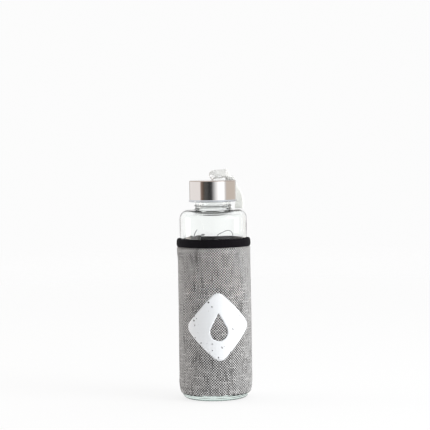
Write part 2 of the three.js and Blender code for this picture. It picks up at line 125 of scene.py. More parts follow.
def spline(knots, steps, closed=False):  # centripetal Catmull-Rom through the knots
    count = len(knots)
    spans = count if closed else count - 1
    points = []
    for span in range(spans):
        if closed:
            p = [knots[(span + k - 1) % count] for k in range(4)]
        else:
            p = [knots[min(max(span + k - 1, 0), count - 1)] for k in range(4)]
            if span == 0:
                p[0] = 2 * p[1] - p[2]
            if span == spans - 1:
                p[3] = 2 * p[2] - p[1]
        t = [0.0]
        for k in range(3):
            t.append(t[k] + max((p[k + 1] - p[k]).length, 1e-6) ** 0.5)
        for i in range(steps):
            s = t[1] + (t[2] - t[1]) * i / steps
            a = [between(s, t[k], t[k + 1], p[k], p[k + 1]) for k in range(3)]
            b = [between(s, t[k], t[k + 2], a[k], a[k + 1]) for k in range(2)]
            points.append(between(s, t[1], t[2], b[0], b[1]))
    if not closed:
        points.append(knots[-1].copy())
    return points


def skin(name, rings, closed=False, creaseAngle=40):
    # Joins rings of equal point counts into one closed mesh with a "cloth" UV map in metres.
    count = len(rings[0])
    aroundRing = [0.0]
    for j in range(count):
        aroundRing.append(aroundRing[-1] + (rings[0][(j + 1) % count] - rings[0][j]).length)
    alongRings = [0.0]
    for i in range(len(rings)):
        step = rings[(i + 1) % len(rings)][0] - rings[i][0]
        alongRings.append(alongRings[-1] + step.length)
    shape = bmesh.new()
    uvLayer = shape.loops.layers.uv.new("cloth")
    corners = [[shape.verts.new(point * mm) for point in ring] for ring in rings]
    for i in range(len(rings) if closed else len(rings) - 1):
        k = (i + 1) % len(rings)
        for j in range(count):
            m = (j + 1) % count
            face = shape.faces.new((corners[i][j], corners[i][m], corners[k][m], corners[k][j]))
            places = ((j, i), (j + 1, i), (j + 1, i + 1), (j, i + 1))
            for loop, (u, v) in zip(face.loops, places):
                loop[uvLayer].uv = (aroundRing[u] * mm, alongRings[v] * mm)
    if not closed:
        shape.faces.new(corners[0][::-1])
        shape.faces.new(corners[-1])
    bmesh.ops.remove_doubles(shape, verts=shape.verts, dist=1e-7)
    bmesh.ops.recalc_face_normals(shape, faces=shape.faces)
    return meshObject(name, shape, creaseAngle)


def meshObject(name, shape, creaseAngle=40):
    mesh = bpy.data.meshes.new(name)
    shape.to_mesh(mesh)
    shape.free()
    mesh.shade_smooth()
    mesh.set_sharp_from_angle(angle=math.radians(creaseAngle))
    piece = bpy.data.objects.new(name, mesh)
    scene.collection.objects.link(piece)
    return piece


def lathe(name, profile, sides, warp=None, creaseAngle=40, first=0.0, last=360.0):
    # Turns a profile of (radius, height) about the Z axis. warp(angle, radius, height) may
    # move each point, and first and last cut a stretch out of the turn.
    whole = last - first >= 360
    rings = []
    for i in range(sides if whole else sides + 1):
        angle = first + (last - first) * i / sides
        ring = []
        for radius, height in profile:
            if warp and radius > 0:
                radius, height = warp(angle, radius, height)
            ring.append(polar(angle, radius, height))
        rings.append(ring)
    return skin(name, rings, closed=whole, creaseAngle=creaseAngle)


def frames(points):
    # Two directions across the line for each point, without sudden turns.
    last = len(points) - 1
    axes = []
    side = None
    for i in range(last + 1):
        along = (points[min(i + 1, last)] - points[max(i - 1, 0)]).normalized()
        if side is None:
            side = along.orthogonal()
        side = (side - along * side.dot(along)).normalized()
        axes.append((side.copy(), along.cross(side)))
    return axes


def tube(name, points, radius, sides=16, grain=None):
    # A round tube. grain(distance, angle) may add to the radius.
    rings = []
    distance = 0.0
    for i, (point, (side, up)) in enumerate(zip(points, frames(points))):
        distance += (point - points[i - 1]).length if i else 0.0
        ring = []
        for j in range(sides):
            turn = around * j / sides
            reach = radius + (grain(distance, turn) if grain else 0.0)
            ring.append(point + side * (reach * math.cos(turn)) + up * (reach * math.sin(turn)))
        rings.append(ring)
    return skin(name, rings, creaseAngle=60)


def joined(name, pieces):  # several meshes as one piece
    shape = bmesh.new()
    for piece in pieces:
        shape.from_mesh(piece.data)
        bpy.data.objects.remove(piece)
    return meshObject(name, shape)


def stitches(name, places, length, radius):
    # Short threads that dip into the cloth at both ends. places holds (middle, along, outward).
    made = []
    for middle, along, outward in places:
        points = []
        for k in range(7):
            share = k / 6 - 0.5
            rise = radius * (1.1 - 7 * share * share)
            points.append(middle + along * (share * length) + outward * rise)
        made.append(tube(name + "Part", points, radius, sides=7))
    return joined(name, made)


# node helpers

def setSocket(tree, socket, value):  # a link or a plain value
    if isinstance(value, bpy.types.NodeSocket):
        tree.links.new(value, socket)
    else:
        socket.default_value = value


def addNode(tree, kind, inputs=None, **settings):
    node = tree.nodes.new("ShaderNode" + kind)
    for key, value in settings.items():
        setattr(node, key, value)
    for key, value in (inputs or {}).items():
        setSocket(tree, node.inputs[key], value)
    return node


def feed(node, socket, value):
    node.id_data.links.new(value, node.inputs[socket])


def sums(tree, operation, *values):
    return addNode(tree, "Math", dict(enumerate(values)), operation=operation).outputs[0]


def times(tree, first, second):
    return sums(tree, "MULTIPLY", first, second)


def centred(tree, value):  # a value between 0 and 1, moved to lie round 0
    return sums(tree, "SUBTRACT", value, 0.5)


def spread(tree, value, low, high, newLow=0.0, newHigh=1.0, kind="LINEAR"):
    inputs = {"Value": value, "From Min": low, "From Max": high,
              "To Min": newLow, "To Max": newHigh}
    return addNode(tree, "MapRange", inputs, interpolation_type=kind).outputs["Result"]


def vectorOf(tree, x=0.0, y=0.0, z=0.0):
    return addNode(tree, "CombineXYZ", {"X": x, "Y": y, "Z": z}).outputs["Vector"]


def axesOf(tree, vector):
    return addNode(tree, "SeparateXYZ", {"Vector": vector}).outputs


def objectPlace(tree):
    return addNode(tree, "TexCoord").outputs["Object"]


def clothPlace(tree):  # metres across and along a piece made by skin
    return axesOf(tree, addNode(tree, "UVMap", uv_map="cloth").outputs["UV"])


def fromAxis(tree, axes):  # distance from the Z axis
    squares = [times(tree, axes[name], axes[name]) for name in ("X", "Y")]
    return sums(tree, "SQRT", sums(tree, "ADD", *squares))


def noise(tree, vector, scale, detail=2.0, roughness=0.5):
    inputs = {"Vector": vector, "Scale": scale, "Detail": detail, "Roughness": roughness}
    return addNode(tree, "TexNoise", inputs).outputs["Fac"]


def mixColours(tree, factor, first, second, kind="MIX"):
    node = addNode(tree, "Mix", data_type="RGBA", blend_type=kind)
    for socket, value in ((0, factor), (6, first), (7, second)):
        value = (*value, 1.0) if isinstance(value, tuple) else value
        setSocket(tree, node.inputs[socket], value)
    return node.outputs[2]


def shade(colour, share):
    return tuple(c * share for c in colour)


def newGroup(name, inputs, vectors=(), values=()):
    # inputs holds what each one starts with, or None for a vector.
    group = bpy.data.node_groups.new(name, "ShaderNodeTree")
    addSocket = group.interface.new_socket
    for label, value in inputs.items():
        kind = "Vector" if value is None else "Float"
        socket = addSocket(name=label, in_out="INPUT", socket_type="NodeSocket" + kind)
        if value is not None:
            socket.default_value = value
    for labels, kind in ((vectors, "Vector"), (values, "Float")):
        for label in labels:
            addSocket(name=label, in_out="OUTPUT", socket_type="NodeSocket" + kind)
    return group, group.nodes.new("NodeGroupInput").outputs, group.nodes.new("NodeGroupOutput")


def useGroup(tree, group, inputs=None):
    return addNode(tree, "Group", inputs, node_tree=group).outputs


def newMaterial(name, settings):
    material = bpy.data.materials.new(name)
    material.use_nodes = True
    shader = material.node_tree.nodes["Principled BSDF"]
    for socket, value in settings.items():
        shader.inputs[socket].default_value = value
    return material, material.node_tree, shader


def bump(tree, shader, height, distance):  # distance in millimetres
    node = addNode(tree, "Bump", {"Height": height, "Distance": distance * mm, "Strength": 1.0})
    feed(shader, "Normal", node.outputs["Normal"])


# shared effects

def makeRoundTheBottle():
    # Places on a cloth tube: threads round the bottle and threads up it, from the back seam.
    group, given, result = newGroup(
        "roundTheBottle",
        {"Threads Round": 172.0, "Thread Height": 0.00135, "Seam Turn": 0.14, "Wander": 0.3},
        vectors=("Vector", "Place"))
    place = objectPlace(group)
    axes = axesOf(group, place)
    turn = sums(group, "DIVIDE", sums(group, "ARCTAN2", axes["Y"], axes["X"]), around)
    turn = sums(group, "FRACT", sums(group, "SUBTRACT", turn, given["Seam Turn"]))
    swapped = vectorOf(group, axes["Z"], axes["X"], axes["Y"])
    drifts = [centred(group, noise(group, place, 55.0, 3.0)),
              centred(group, noise(group, swapped, 48.0, 3.0))]
    counts = [times(group, turn, given["Threads Round"]),
              sums(group, "DIVIDE", axes["Z"], given["Thread Height"])]
    threads = [sums(group, "MULTIPLY_ADD", drift, given["Wander"], count)
               for drift, count in zip(drifts, counts)]
    feed(result, "Vector", vectorOf(group, *threads))
    feed(result, "Place", place)
    return group


weaveForm = {
    "bend": (2.7, 2.9),  # how far each thread's crown curves across it and along it
    "laneGap": 7.31,  # sets the tone of one thread apart from the next
    "fibreScale": 4.0,
    "fibreRelief": 0.25,
    "tones": (0.28, 0.72),
}


def makePlainWeave():
    # Over and under threads, each with its own tone that drifts along its length.
    group, given, result = newGroup(
        "plainWeave", {"Vector": None, "Slub": 0.08, "Fibre": 0.3},
        values=("Height", "Tone", "Over", "Gap"))
    axes = axesOf(group, given["Vector"])
    cells, insides = [], []
    for axis in ("X", "Y"):
        cells.append(sums(group, "FLOOR", axes[axis]))
        insides.append(centred(group, sums(group, "FRACT", axes[axis])))
    over = sums(group, "ABSOLUTE", sums(group, "MODULO", sums(group, "ADD", *cells), 2.0))
    tones, heights = [], []
    for across, along, axis in ((0, 1, "Y"), (1, 0, "X")):
        lane = vectorOf(group, times(group, cells[across], weaveForm["laneGap"]),
                        times(group, axes[axis], given["Slub"]), 4.0 + 9.0 * across)
        tones.append(noise(group, lane, 1.0, 2.0, 0.6))
        crowns = [sums(group, "COSINE", times(group, insides[side], bend))
                  for side, bend in zip((across, along), weaveForm["bend"])]
        heights.append(times(group, *crowns))
    tone, height = (addNode(group, "Mix", {0: over, 2: pair[1], 3: pair[0]}).outputs[0]
                    for pair in (tones, heights))
    fibres = centred(group, noise(group, given["Vector"], weaveForm["fibreScale"], 2.0, 0.7))
    tone = sums(group, "MULTIPLY_ADD", fibres, given["Fibre"], tone)
    rough = sums(group, "MULTIPLY_ADD", fibres, weaveForm["fibreRelief"], height)
    feed(result, "Height", rough)
    feed(result, "Tone", spread(group, tone, *weaveForm["tones"]))
    feed(result, "Over", over)
    # Gap is high in the hollows between threads, where the materials paint shade
    feed(result, "Gap", spread(group, height, 0.5, 0.0))
    return group


def makeWear():
    # Small worn spots of different sizes, more of them where Bias is high.
    group, given, result = newGroup(
        "wear", {"Vector": None, "Scale": 300.0, "Share": 0.1, "Bias": 0.0}, values=("Mask",))
    vector, scale = given["Vector"], given["Scale"]
    ragged = noise(group, vector, times(group, scale, 5.0), 2.0)
    spots = addNode(group, "TexVoronoi", {"Vector": vector, "Scale": scale})
    chance = addNode(group, "SeparateColor", {"Color": spots.outputs["Color"]}).outputs
    share = sums(group, "ADD", given["Share"], given["Bias"])
    chosen = sums(group, "LESS_THAN", chance["Red"], share)
    size = spread(group, sums(group, "POWER", chance["Green"], 2.0), 0.0, 1.0, 0.12, 0.34)
    size = times(group, size, spread(group, ragged, 0.3, 0.7, 0.5, 1.5))
    inSpot = sums(group, "LESS_THAN", spots.outputs["Distance"], size)
    feed(result, "Mask", times(group, chosen, inSpot))
    return group


def makeSpunLines():
    # Fine lines round the Z axis, as a lathe leaves them on steel.
    group, given, result = newGroup(
        "spunLines", {"Fineness": 9000.0}, values=("Lines", "Smudge"))
    place = objectPlace(group)
    axes = axesOf(group, place)
    turn = sums(group, "ARCTAN2", axes["Y"], axes["X"])
    lane = vectorOf(group, times(group, fromAxis(group, axes), given["Fineness"]),
                    times(group, axes["Z"], given["Fineness"]), times(group, turn, 0.8))
    feed(result, "Lines", noise(group, lane, 1.0, 3.0, 0.7))
    feed(result, "Smudge", noise(group, place, 90.0, 3.0, 0.6))
    return group


roundTheBottle = makeRoundTheBottle()
plainWeave = makePlainWeave()
wear = makeWear()
spunLines = makeSpunLines()

# materials

clothFinish = {
    "threadsRound": 172.0,
    "threadHeight": 0.00135,
    "dark": (0.021, 0.0195, 0.019),
    "light": (0.80, 0.795, 0.79),
    "contrast": 1.15,  # between the light and the dark threads
    "streaks": 1.6,
    "streakMiddle": 0.43,
    "tint": (0.36, 0.27, 0.22),
    "tintShare": 0.15,
    # gap colour and its share: painted shade in the hollows between threads
    "gap": (0.02, 0.018, 0.017),
    "gapShadeShare": 0.75,
    "wander": 0.5,
    "bump": 0.35,
}


def bottleWeave(tree, threadsRound, threadHeight, wander, **settings):
    # Threads round a cloth tube. Returns the place on it and the weave.
    threads = useGroup(tree, roundTheBottle, {
        "Threads Round": threadsRound, "Thread Height": threadHeight, "Wander": wander})
    return threads["Place"], useGroup(tree, plainWeave, {"Vector": threads["Vector"], **settings})


def makeCloth(name, finish):
    material, tree, shader = newMaterial(name, {
        "Roughness": 0.92, "Specular IOR Level": 0.2, "Sheen Weight": 0.5, "Sheen Roughness": 0.45})
    place, weave = bottleWeave(
        tree, finish["threadsRound"], finish["threadHeight"], finish["wander"])
    streak = sums(tree, "MULTIPLY_ADD", centred(tree, weave["Tone"]), finish["streaks"],
                  finish["streakMiddle"])
    tone = sums(tree, "MULTIPLY_ADD", centred(tree, weave["Over"]), finish["contrast"], streak)
    colour = mixColours(tree, tone, finish["dark"], finish["light"])
    tint = times(tree, spread(tree, noise(tree, place, 160.0), 0.35, 0.65), finish["tintShare"])
    colour = mixColours(tree, tint, colour, finish["tint"], "SOFT_LIGHT")
    # the hollows between threads painted darker as shade
    gap = times(tree, weave["Gap"], finish["gapShadeShare"])
    feed(shader, "Base Color", mixColours(tree, gap, colour, finish["gap"]))
    bump(tree, shader, weave["Height"], finish["bump"])
    return material


glassTint = {
    "wall": (0.978, 0.992, 0.985),
    "thick": (0.80, 0.905, 0.865),  # the heavy base
    "foot": (0.33, 0.50, 0.45),  # where it stands: the thick glass's green, darkened further as painted shade
    "thickFrom": (0.016, 0.008),  # height at which each tint begins and is full, in metres
    "footFrom": (0.003, 0.0008),
    "waves": (45.0, 0.06),  # scale and depth
}
glassFinish = {
    "Roughness": 0.0,
    "IOR": 1.44,
    "Transmission Weight": 1.0,
}


def makeGlass():
    material, tree, shader = newMaterial("clearGlass", glassFinish)
    place = objectPlace(tree)
    flow = addNode(tree, "Mapping", {"Vector": place, "Scale": (1.0, 1.0, 0.35)}).outputs["Vector"]
    scale, depth = glassTint["waves"]
    bump(tree, shader, noise(tree, flow, scale), depth)
    height = axesOf(tree, place)["Z"]
    thick = spread(tree, height, *glassTint["thickFrom"])
    colour = mixColours(tree, thick, glassTint["wall"], glassTint["thick"])
    # the foot: glass green darkened as painted shade along where it stands
    foot = spread(tree, height, *glassTint["footFrom"])
    feed(shader, "Base Color", mixColours(tree, foot, colour, glassTint["foot"]))
    return material


steelFinish = {
    "Base Color": (0.78, 0.765, 0.755, 1.0),
    "Metallic": 1.0,
}
capCornerShade = {  # the rounded upper edge, painted a little darker than the rest as shade
    "heights": (0.22035, 0.2206),
    "reach": (0.0227, 0.0229),  # distance from the axis
    "colour": (0.42, 0.36, 0.33),
}
capRollReflection = {  # the rolled edge at the foot, painted bluish grey as a reflection
    "heights": (0.2021, 0.2018),
    "reach": (0.0222, 0.0223),
    "colour": (0.54, 0.56, 0.59),
}


def makeSteel(name, roughness, smudge, edges=()):
    material, tree, shader = newMaterial(name, steelFinish)
    lines = useGroup(tree, spunLines)
    rough = spread(tree, lines["Lines"], 0.2, 0.8, roughness * 0.75, roughness * 1.25)
    smudges = spread(tree, lines["Smudge"], 0.45, 0.75)
    feed(shader, "Roughness", sums(tree, "MULTIPLY_ADD", smudges, smudge, rough))
    bump(tree, shader, lines["Lines"], 0.004)
    colour = steelFinish["Base Color"][:3]
    for edge in edges:
        # the corner edge paints shade and the rolled edge a reflection into the colour
        axes = axesOf(tree, objectPlace(tree))
        mask = times(tree, spread(tree, axes["Z"], *edge["heights"]),
                     spread(tree, fromAxis(tree, axes), *edge["reach"]))
        colour = mixColours(tree, mask, colour, edge["colour"])
    if edges:
        feed(shader, "Base Color", colour)
    return material


def makeMoulded(name, colour, roughness, grain):
    material, tree, shader = newMaterial(name, {"Specular IOR Level": 0.45})
    place = objectPlace(tree)
    fine = noise(tree, place, 2600.0)
    slow = spread(tree, noise(tree, place, 120.0, 3.0), 0.3, 0.7)
    feed(shader, "Base Color", mixColours(tree, slow, shade(colour, 0.88), colour))
    rough = spread(tree, fine, 0.3, 0.7, roughness * 0.85, roughness * 1.15)
    feed(shader, "Roughness", rough)
    bump(tree, shader, fine, grain)
    return material


ribbonFinish = {
    "ribPitch": 0.00055,  # between the ribs that run across the ribbon
    "yarnPitch": 0.0003,
    "light": (0.85, 0.86, 0.835),
    "dark": (0.66, 0.67, 0.64),
    "through": 0.85,  # how much light passes through the thin cloth
    "glow": 0.24,  # painted glow that stands in for light from behind in the hanging part
    "glowHeights": (0.222, 0.216),
}


def makeRibbonCloth(name, finish):
    material, tree, shader = newMaterial(name, {
        "Roughness": 0.7, "Specular IOR Level": 0.3, "Sheen Weight": 0.25, "Sheen Roughness": 0.4,
        "Subsurface Weight": finish["through"], "Subsurface Radius": (1, 1, 1),
        "Subsurface Scale": 0.006, "Emission Strength": finish["glow"]})
    places = clothPlace(tree)
    vector = vectorOf(tree, sums(tree, "DIVIDE", places["X"], finish["yarnPitch"]),
                      sums(tree, "DIVIDE", places["Y"], finish["ribPitch"]))
    weave = useGroup(tree, plainWeave, {"Vector": vector, "Slub": 0.05, "Fibre": 0.2})
    colour = mixColours(tree, weave["Tone"], finish["dark"], finish["light"])
    # painted shade between the yarns, towards the dark colour
    colour = mixColours(tree, times(tree, weave["Gap"], 0.4), colour, finish["dark"])
    feed(shader, "Base Color", colour)
    # the hanging part glows in its own colour: painted light from behind
    hanging = spread(tree, axesOf(tree, objectPlace(tree))["Z"], *finish["glowHeights"])
    feed(shader, "Emission Color", mixColours(tree, hanging, (0.0, 0.0, 0.0), colour))
    bump(tree, shader, weave["Height"], 0.12)
    return material


knitRadius = 0.037  # of the tube that the knit lies on, in metres


def makeKnit(name, colour, pitch, sheen, relief=0.15, gloss=0.25):
    # Fine knitted cloth: rows of small loops with a soft sheen.
    material, tree, shader = newMaterial(name, {
        "Roughness": 0.85, "Specular IOR Level": gloss,
        "Sheen Weight": sheen, "Sheen Roughness": 0.5})
    place, weave = bottleWeave(tree, round(around * knitRadius / pitch), pitch * 0.8, 0.6,
                               Slub=0.03, Fibre=0.4)
    slow = times(tree, noise(tree, place, 140.0, 3.0), 0.4)
    factor = sums(tree, "MULTIPLY_ADD", weave["Tone"], 0.6, slow)
    feed(shader, "Base Color", mixColours(tree, factor, shade(colour, 0.55), shade(colour, 1.5)))
    bump(tree, shader, weave["Height"], relief)
    return material


def makeThread(name, colour, twist=0.0011):
    # Twisted yarn, seen on cords and stitches.
    material, tree, shader = newMaterial(name, {
        "Roughness": 0.8, "Specular IOR Level": 0.3, "Sheen Weight": 0.4, "Sheen Roughness": 0.4})
    places = clothPlace(tree)
    slant = sums(tree, "MULTIPLY_ADD", places["X"], 1.4, places["Y"])
    strand = spread(tree, sums(tree, "SINE", times(tree, slant, around / twist)), -1.0, 1.0)
    # the grooves of the twist painted darker as shade
    feed(shader, "Base Color", mixColours(tree, strand, shade(colour, 0.5), colour))
    bump(tree, shader, strand, 0.08)
    return material


def makeFoam():
    material, tree, shader = newMaterial("openFoam", {"Roughness": 1.0, "Specular IOR Level": 0.1})
    spots = addNode(tree, "TexVoronoi", {"Vector": objectPlace(tree), "Scale": 1400.0})
    cells = spots.outputs["Distance"]
    # darker towards each cell's middle: painted shade in the open pores
    feed(shader, "Base Color", mixColours(tree, cells, (0.012, 0.012, 0.013), (0.06, 0.06, 0.064)))
    bump(tree, shader, cells, 0.2)
    return material


printFinish = {
    "white": (0.95, 0.97, 0.995),
    # the print's white in painted shade, used in the hollows between threads
    "shadedWhite": (0.72, 0.74, 0.765),
    "speckScale": 330.0,
    "specks": 0.12,  # share of the places that wear through
    "leftWear": (-0.004, -0.026, 0.0, 0.75),  # from and to in metres, then the shares added there
    "lowWear": (0.09, 0.045, 0.0, 0.09),
}


def makePrint(finish, cloth):
    # Thin white transfer print over the weave, worn through in small spots.
    material, tree, shader = newMaterial("wornPrint", {
        "Roughness": 0.62, "Specular IOR Level": 0.35})
    place, weave = bottleWeave(tree, cloth["threadsRound"], cloth["threadHeight"], cloth["wander"])
    axes = axesOf(tree, place)
    bias = sums(tree, "ADD", spread(tree, axes["X"], *finish["leftWear"]),
                spread(tree, axes["Z"], *finish["lowWear"]))
    worn = useGroup(tree, wear, {"Vector": place, "Scale": finish["speckScale"],
                                 "Share": finish["specks"], "Bias": bias})
    # painted shade in the hollows between threads darkens the print there
    printHollowShade = times(tree, weave["Gap"], 0.22)
    feed(shader, "Base Color", mixColours(tree, printHollowShade, finish["white"], finish["shadedWhite"]))
    feed(shader, "Alpha", sums(tree, "SUBTRACT", 1.0, worn["Mask"]))
    bump(tree, shader, weave["Height"], 0.12)
    return material


clothMaterial = makeCloth("heatherCloth", clothFinish)
liningMaterial = makeKnit("liningKnit", (0.30, 0.305, 0.32), 0.0009, 0.2)
bindingMaterial = makeKnit("bindingKnit", (0.004, 0.0032, 0.005), 0.0008, 0.0, gloss=0.14)
elasticMaterial = makeKnit("elasticTape", (0.62, 0.62, 0.60), 0.0011, 0.2, 0.25)
foamMaterial = makeFoam()
printMaterial = makePrint(printFinish, clothFinish)
glassMaterial = makeGlass()
capSteelMaterial = makeSteel("spunSteel", 0.085, 0.06, (capCornerShade, capRollReflection))
wireSteelMaterial = makeSteel("polishedWire", 0.16, 0.05)
linerMaterial = makeMoulded("linerPlastic", (0.80, 0.80, 0.78), 0.42, 0.01)
sealMaterial = makeMoulded("sealSilicone", (0.84, 0.84, 0.82), 0.6, 0.02)
ribbonMaterial = makeRibbonCloth("ribbonWeave", ribbonFinish)
cordMaterial = makeThread("cordYarn", (0.035, 0.043, 0.065))
greyThreadMaterial = makeThread("greyThread", (0.20, 0.19, 0.185), 0.0004)
whiteThreadMaterial = makeThread("whiteThread", (0.78, 0.78, 0.76), 0.0004)
print("materials made")


def dress(piece, material):
    piece.data.materials.clear()
    piece.data.materials.append(material)


def addPiece(piece, body, slotName, material, *replaced):
    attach(piece, body)
    dress(piece, material)
    if replaced:
        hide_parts(*replaced)
    return piece


# draw cord

drawCord = {
    "radius": 0.35,
    "exitAngles": (53, 83),  # degrees from +X
    "crown": 35.925,  # radius at the middle of the binding
    "clear": 0.3,  # between the binding and where the cord shows
    "braid": 0.03,  # relief of the braid
    "braidRate": 4.2,
    "braidStrands": 4,
    "skin": 0.02,  # taken off the radius, since the braid adds to it
}
knot = {
    "angle": 108,
    "rise": 1.1,
    "windings": 1.5,
    "halfLength": 1.3,
    "ring": (0.62, 0.6),  # out from the axis, and up
    "radii": (0.44, 0.42, 0.45),  # windings, crossing and cut end
}
exitHeight = boxOf("sleeve_top_binding")[1].z + drawCord["clear"]


def cordBraid(distance, turn):
    strands, along = drawCord["braidStrands"] * turn, drawCord["braidRate"] * distance
    return drawCord["braid"] * math.sin(strands + along) * math.sin(strands - along)


def drawCordLoop(setup):
    first, second = setup["exitAngles"]
    knots = [polar(angle, setup["crown"] + out, exitHeight + rise) for angle, out, rise in (
        (second, 0, 0),
        (second - 0.7, 0.7, 0.9),
        (second - 3.5, 3.2, 1.9),
        (second - 8, 6, 3.2),
        (second - 12.5, 8.2, 4.5),
        (first + 13.5, 8.5, 4.7),
        (first + 9.5, 7.1, 4.2),
        (first + 5, 4, 2.9),
        (first + 1, 0.8, 1.5),
        (first, 0, 0),
    )]
    points = spline(knots, 16)
    loop = tube("draw_cord_free_loop", points, setup["radius"] - setup["skin"], 16, cordBraid)
    addPiece(loop, "sleeve", "cord", cordMaterial, "draw_cord_loop")
    return loop, points


def drawCordKnot(setup, crown):
    # An overhand knot pulled tight: a double turn round the cord, and the cut end standing up.
    height = exitHeight + setup["rise"]
    middle = polar(setup["angle"], crown + 0.2, height)
    along = polar(setup["angle"] + 90, 1, 0).normalized()
    out, up = polar(setup["angle"], 1, 0), Vector((0, 0, 1))
    ringOut, ringUp = setup["ring"]
    windings = []
    steps = 36
    for k in range(steps + 1):
        turn = around * setup["windings"] * k / steps
        slide = setup["halfLength"] * (2 * k / steps - 1)
        windings.append(middle + along * slide + out * (ringOut * math.cos(turn))
                        + up * (ringUp * math.sin(turn)))
    crossing = [middle - along * 1.9 + up * 0.2, middle - along * 0.6 + out * 0.1,
                middle + along * 0.8 - out * 0.1, middle + along * 1.9 + up * 0.15]
    tail = [middle + along * 0.8]
    tail += [polar(setup["angle"] + angle, crown + reach, height + rise) for angle, reach, rise in (
        (2, 1.6, -0.3),
        (5, 2.9, -1.6),
        (10, 3, -2.6),
        (15, 2.8, -1.6),
        (15.8, 2.2, 0.8),
        (13.2, 1.9, 3.4),
        (10.4, 1.8, 5.5),
    )]
    paths = (windings, 12), (spline(crossing, 8), 12), (spline(tail, 10), 14)
    parts = [tube("knotPart", path, radius, sides, cordBraid)
             for (path, sides), radius in zip(paths, setup["radii"])]
    return joined("draw_cord_stop_knot", parts)


cordLoop, cordPoints = drawCordLoop(drawCord)
cordKnot = addPiece(drawCordKnot(knot, drawCord["crown"]), "sleeve", "cord", cordMaterial,
                 "draw_cord_knot")

# glass

glassHigh = boxOf("glass_bottle")[1]
bottle = {
    "wall": 3.0,
    "heel": 6.0,
    "pushUpRadius": 25.0,
    "pushUpHeight": 3.0,
    "floorHeight": 7.0,
    "floorCrown": 1.8,
    "innerHeel": 5.0,
    "shoulderTop": 191.5,
    "shoulder": 8.5,
    "neck": 17.9,
    "neckFillet": 3.0,
    "bore": 14.7,
    "boreFillet": 2.5,
    "beadHeight": 196.0,
    "bead": 0.9,
    "lip": 1.4,
    "wobbleFrom": 20,  # height above which the inside is a little uneven
    "wobble": (0.045, 0.03),
}
screwThread = {
    "lead": 4.2,  # rise in one turn, right-handed
    "turns": 2.0,
    "start": 204.2,
    "reach": 1.2,
    "halfFoot": 0.95,
    "fade": 0.16,  # turns over which a ridge rises at each end
}


def ridgeHeight(angle, height, start):
    # How far the screw thread stands out at this place.
    lead, turns, fade = screwThread["lead"], screwThread["turns"], screwThread["fade"]
    share = (angle % 360) / 360
    turn = round((height - start) / lead - share) + share
    if turn < 0 or turn > turns:
        return 0.0
    away = abs(height - start - lead * turn) / screwThread["halfFoot"]
    ends = smooth(turn / fade) * smooth((turns - turn) / fade)
    return screwThread["reach"] * smooth((1 - away) * 1.7) * ends


def glassWobble(angle, height):  # blown glass is never quite even
    turn = math.radians(angle)
    slow, quick = bottle["wobble"]
    return slow * math.sin(3 * turn + height / 19) + quick * math.sin(7 * turn - height / 11 + 1.0)


def glassBody(setup):
    outer, top = glassHigh.x, glassHigh.z
    inner = outer - setup["wall"]
    shoulder, shoulderTop, neck = setup["shoulder"], setup["shoulderTop"], setup["neck"]
    foot = shoulderTop - shoulder
    bore, lip = setup["bore"], setup["lip"]
    fillet, outerFillet = setup["boreFillet"], setup["neckFillet"]
    heel, innerHeel = setup["heel"], setup["innerHeel"]
    innerShoulder = shoulder - setup["wall"]
    pushUp, pushUpRadius, floor = setup["pushUpHeight"], setup["pushUpRadius"], setup["floorHeight"]
    crown = floor + setup["floorCrown"]
    beadTop = setup["beadHeight"] + setup["bead"]
    profile = bow((0, pushUp), (0.7 * pushUpRadius, pushUp), (pushUpRadius, 0), 14)
    profile += arc(outer - heel, heel, heel, -90, 0, 12)
    profile += straight((outer, heel), (outer, foot), 40)[1:]
    profile += arc(outer - shoulder, foot, shoulder, 0, 90, 16)[1:]
    profile += arc(neck + outerFillet, shoulderTop + outerFillet, outerFillet, -90, -180, 9)
    profile += arc(neck, setup["beadHeight"], setup["bead"], -90, 90, 9)[1:]
    profile += straight((neck, beadTop), (neck, top - lip), 96)[1:]
    profile += arc(neck - lip, top - lip, lip, 0, 90, 8)[1:]
    profile += arc(bore + lip, top - lip, lip, 90, 180, 8)
    profile += arc(bore + fillet, foot + innerShoulder + fillet, fillet, 180, 270, 9)
    profile += arc(outer - shoulder, foot, innerShoulder, 90, 0, 12)
    profile += straight((inner, foot), (inner, floor + innerHeel), 40)[1:]
    profile += arc(inner - innerHeel, floor + innerHeel, innerHeel, 0, -90, 10)[1:]
    profile += bow((inner - innerHeel, floor), (inner / 2, crown), (0, crown), 14)[1:]
    middleWall = (outer + inner) / 2

    def warp(angle, radius, height):
        if radius > neck - 0.01 and height > beadTop:
            return radius + ridgeHeight(angle, height, screwThread["start"]), height
        if radius < middleWall and setup["wobbleFrom"] < height < foot:
            return radius + glassWobble(angle, height), height
        if bore + 1 < radius < middleWall and height >= foot:
            return radius, height + 2 * glassWobble(angle, height)
        return radius, height

    return lathe("glass_body", profile, 224, warp, creaseAngle=75)


addPiece(glassBody(bottle), "bottle", "glass", glassMaterial, "glass_bottle")
print("glass made")

# cap

capLow, capHigh = boxOf("cap_shell")
bridgeLow, bridgeHigh = boxOf("strap_bridge")
cap = {
    "radius": 23.65,
    "steel": 0.7,
    "corner": 0.9,
    "rim": 1.15,  # radius of the rolled edge
    "hole": 1.3,
}
insert = {
    "wall": 3,
    "plate": (218.5, 219.7),  # heights of its faces
    "rimWall": 2.7,
    "edge": 0.3,
}
gasket = {
    "inner": 14.9,
    "soft": 0.35,  # radius of its edges
    "groove": (17.6, 17.2, 16.6, 16.2),
    "grooveDepth": 0.2,
}
bridge = {
    "wire": 1.0,  # radius
    "bend": 1.9,
}
legReach = bridgeHigh.y - bridge["wire"]
barHeight = bridgeHigh.z - bridge["wire"]


def roundedSection(inner, outer, low, high, soft, steps, outerRun=(), topRun=(), innerRun=()):
    # Section of a flat ring with round edges. Runs are extra points along its faces.
    return [*arc(outer - soft, low + soft, soft, -90, 0, steps), *outerRun,
            *arc(outer - soft, high - soft, soft, 0, 90, steps), *topRun,
            *arc(inner + soft, high - soft, soft, 90, 180, steps), *innerRun,
            *arc(inner + soft, low + soft, soft, 180, 270, steps)]


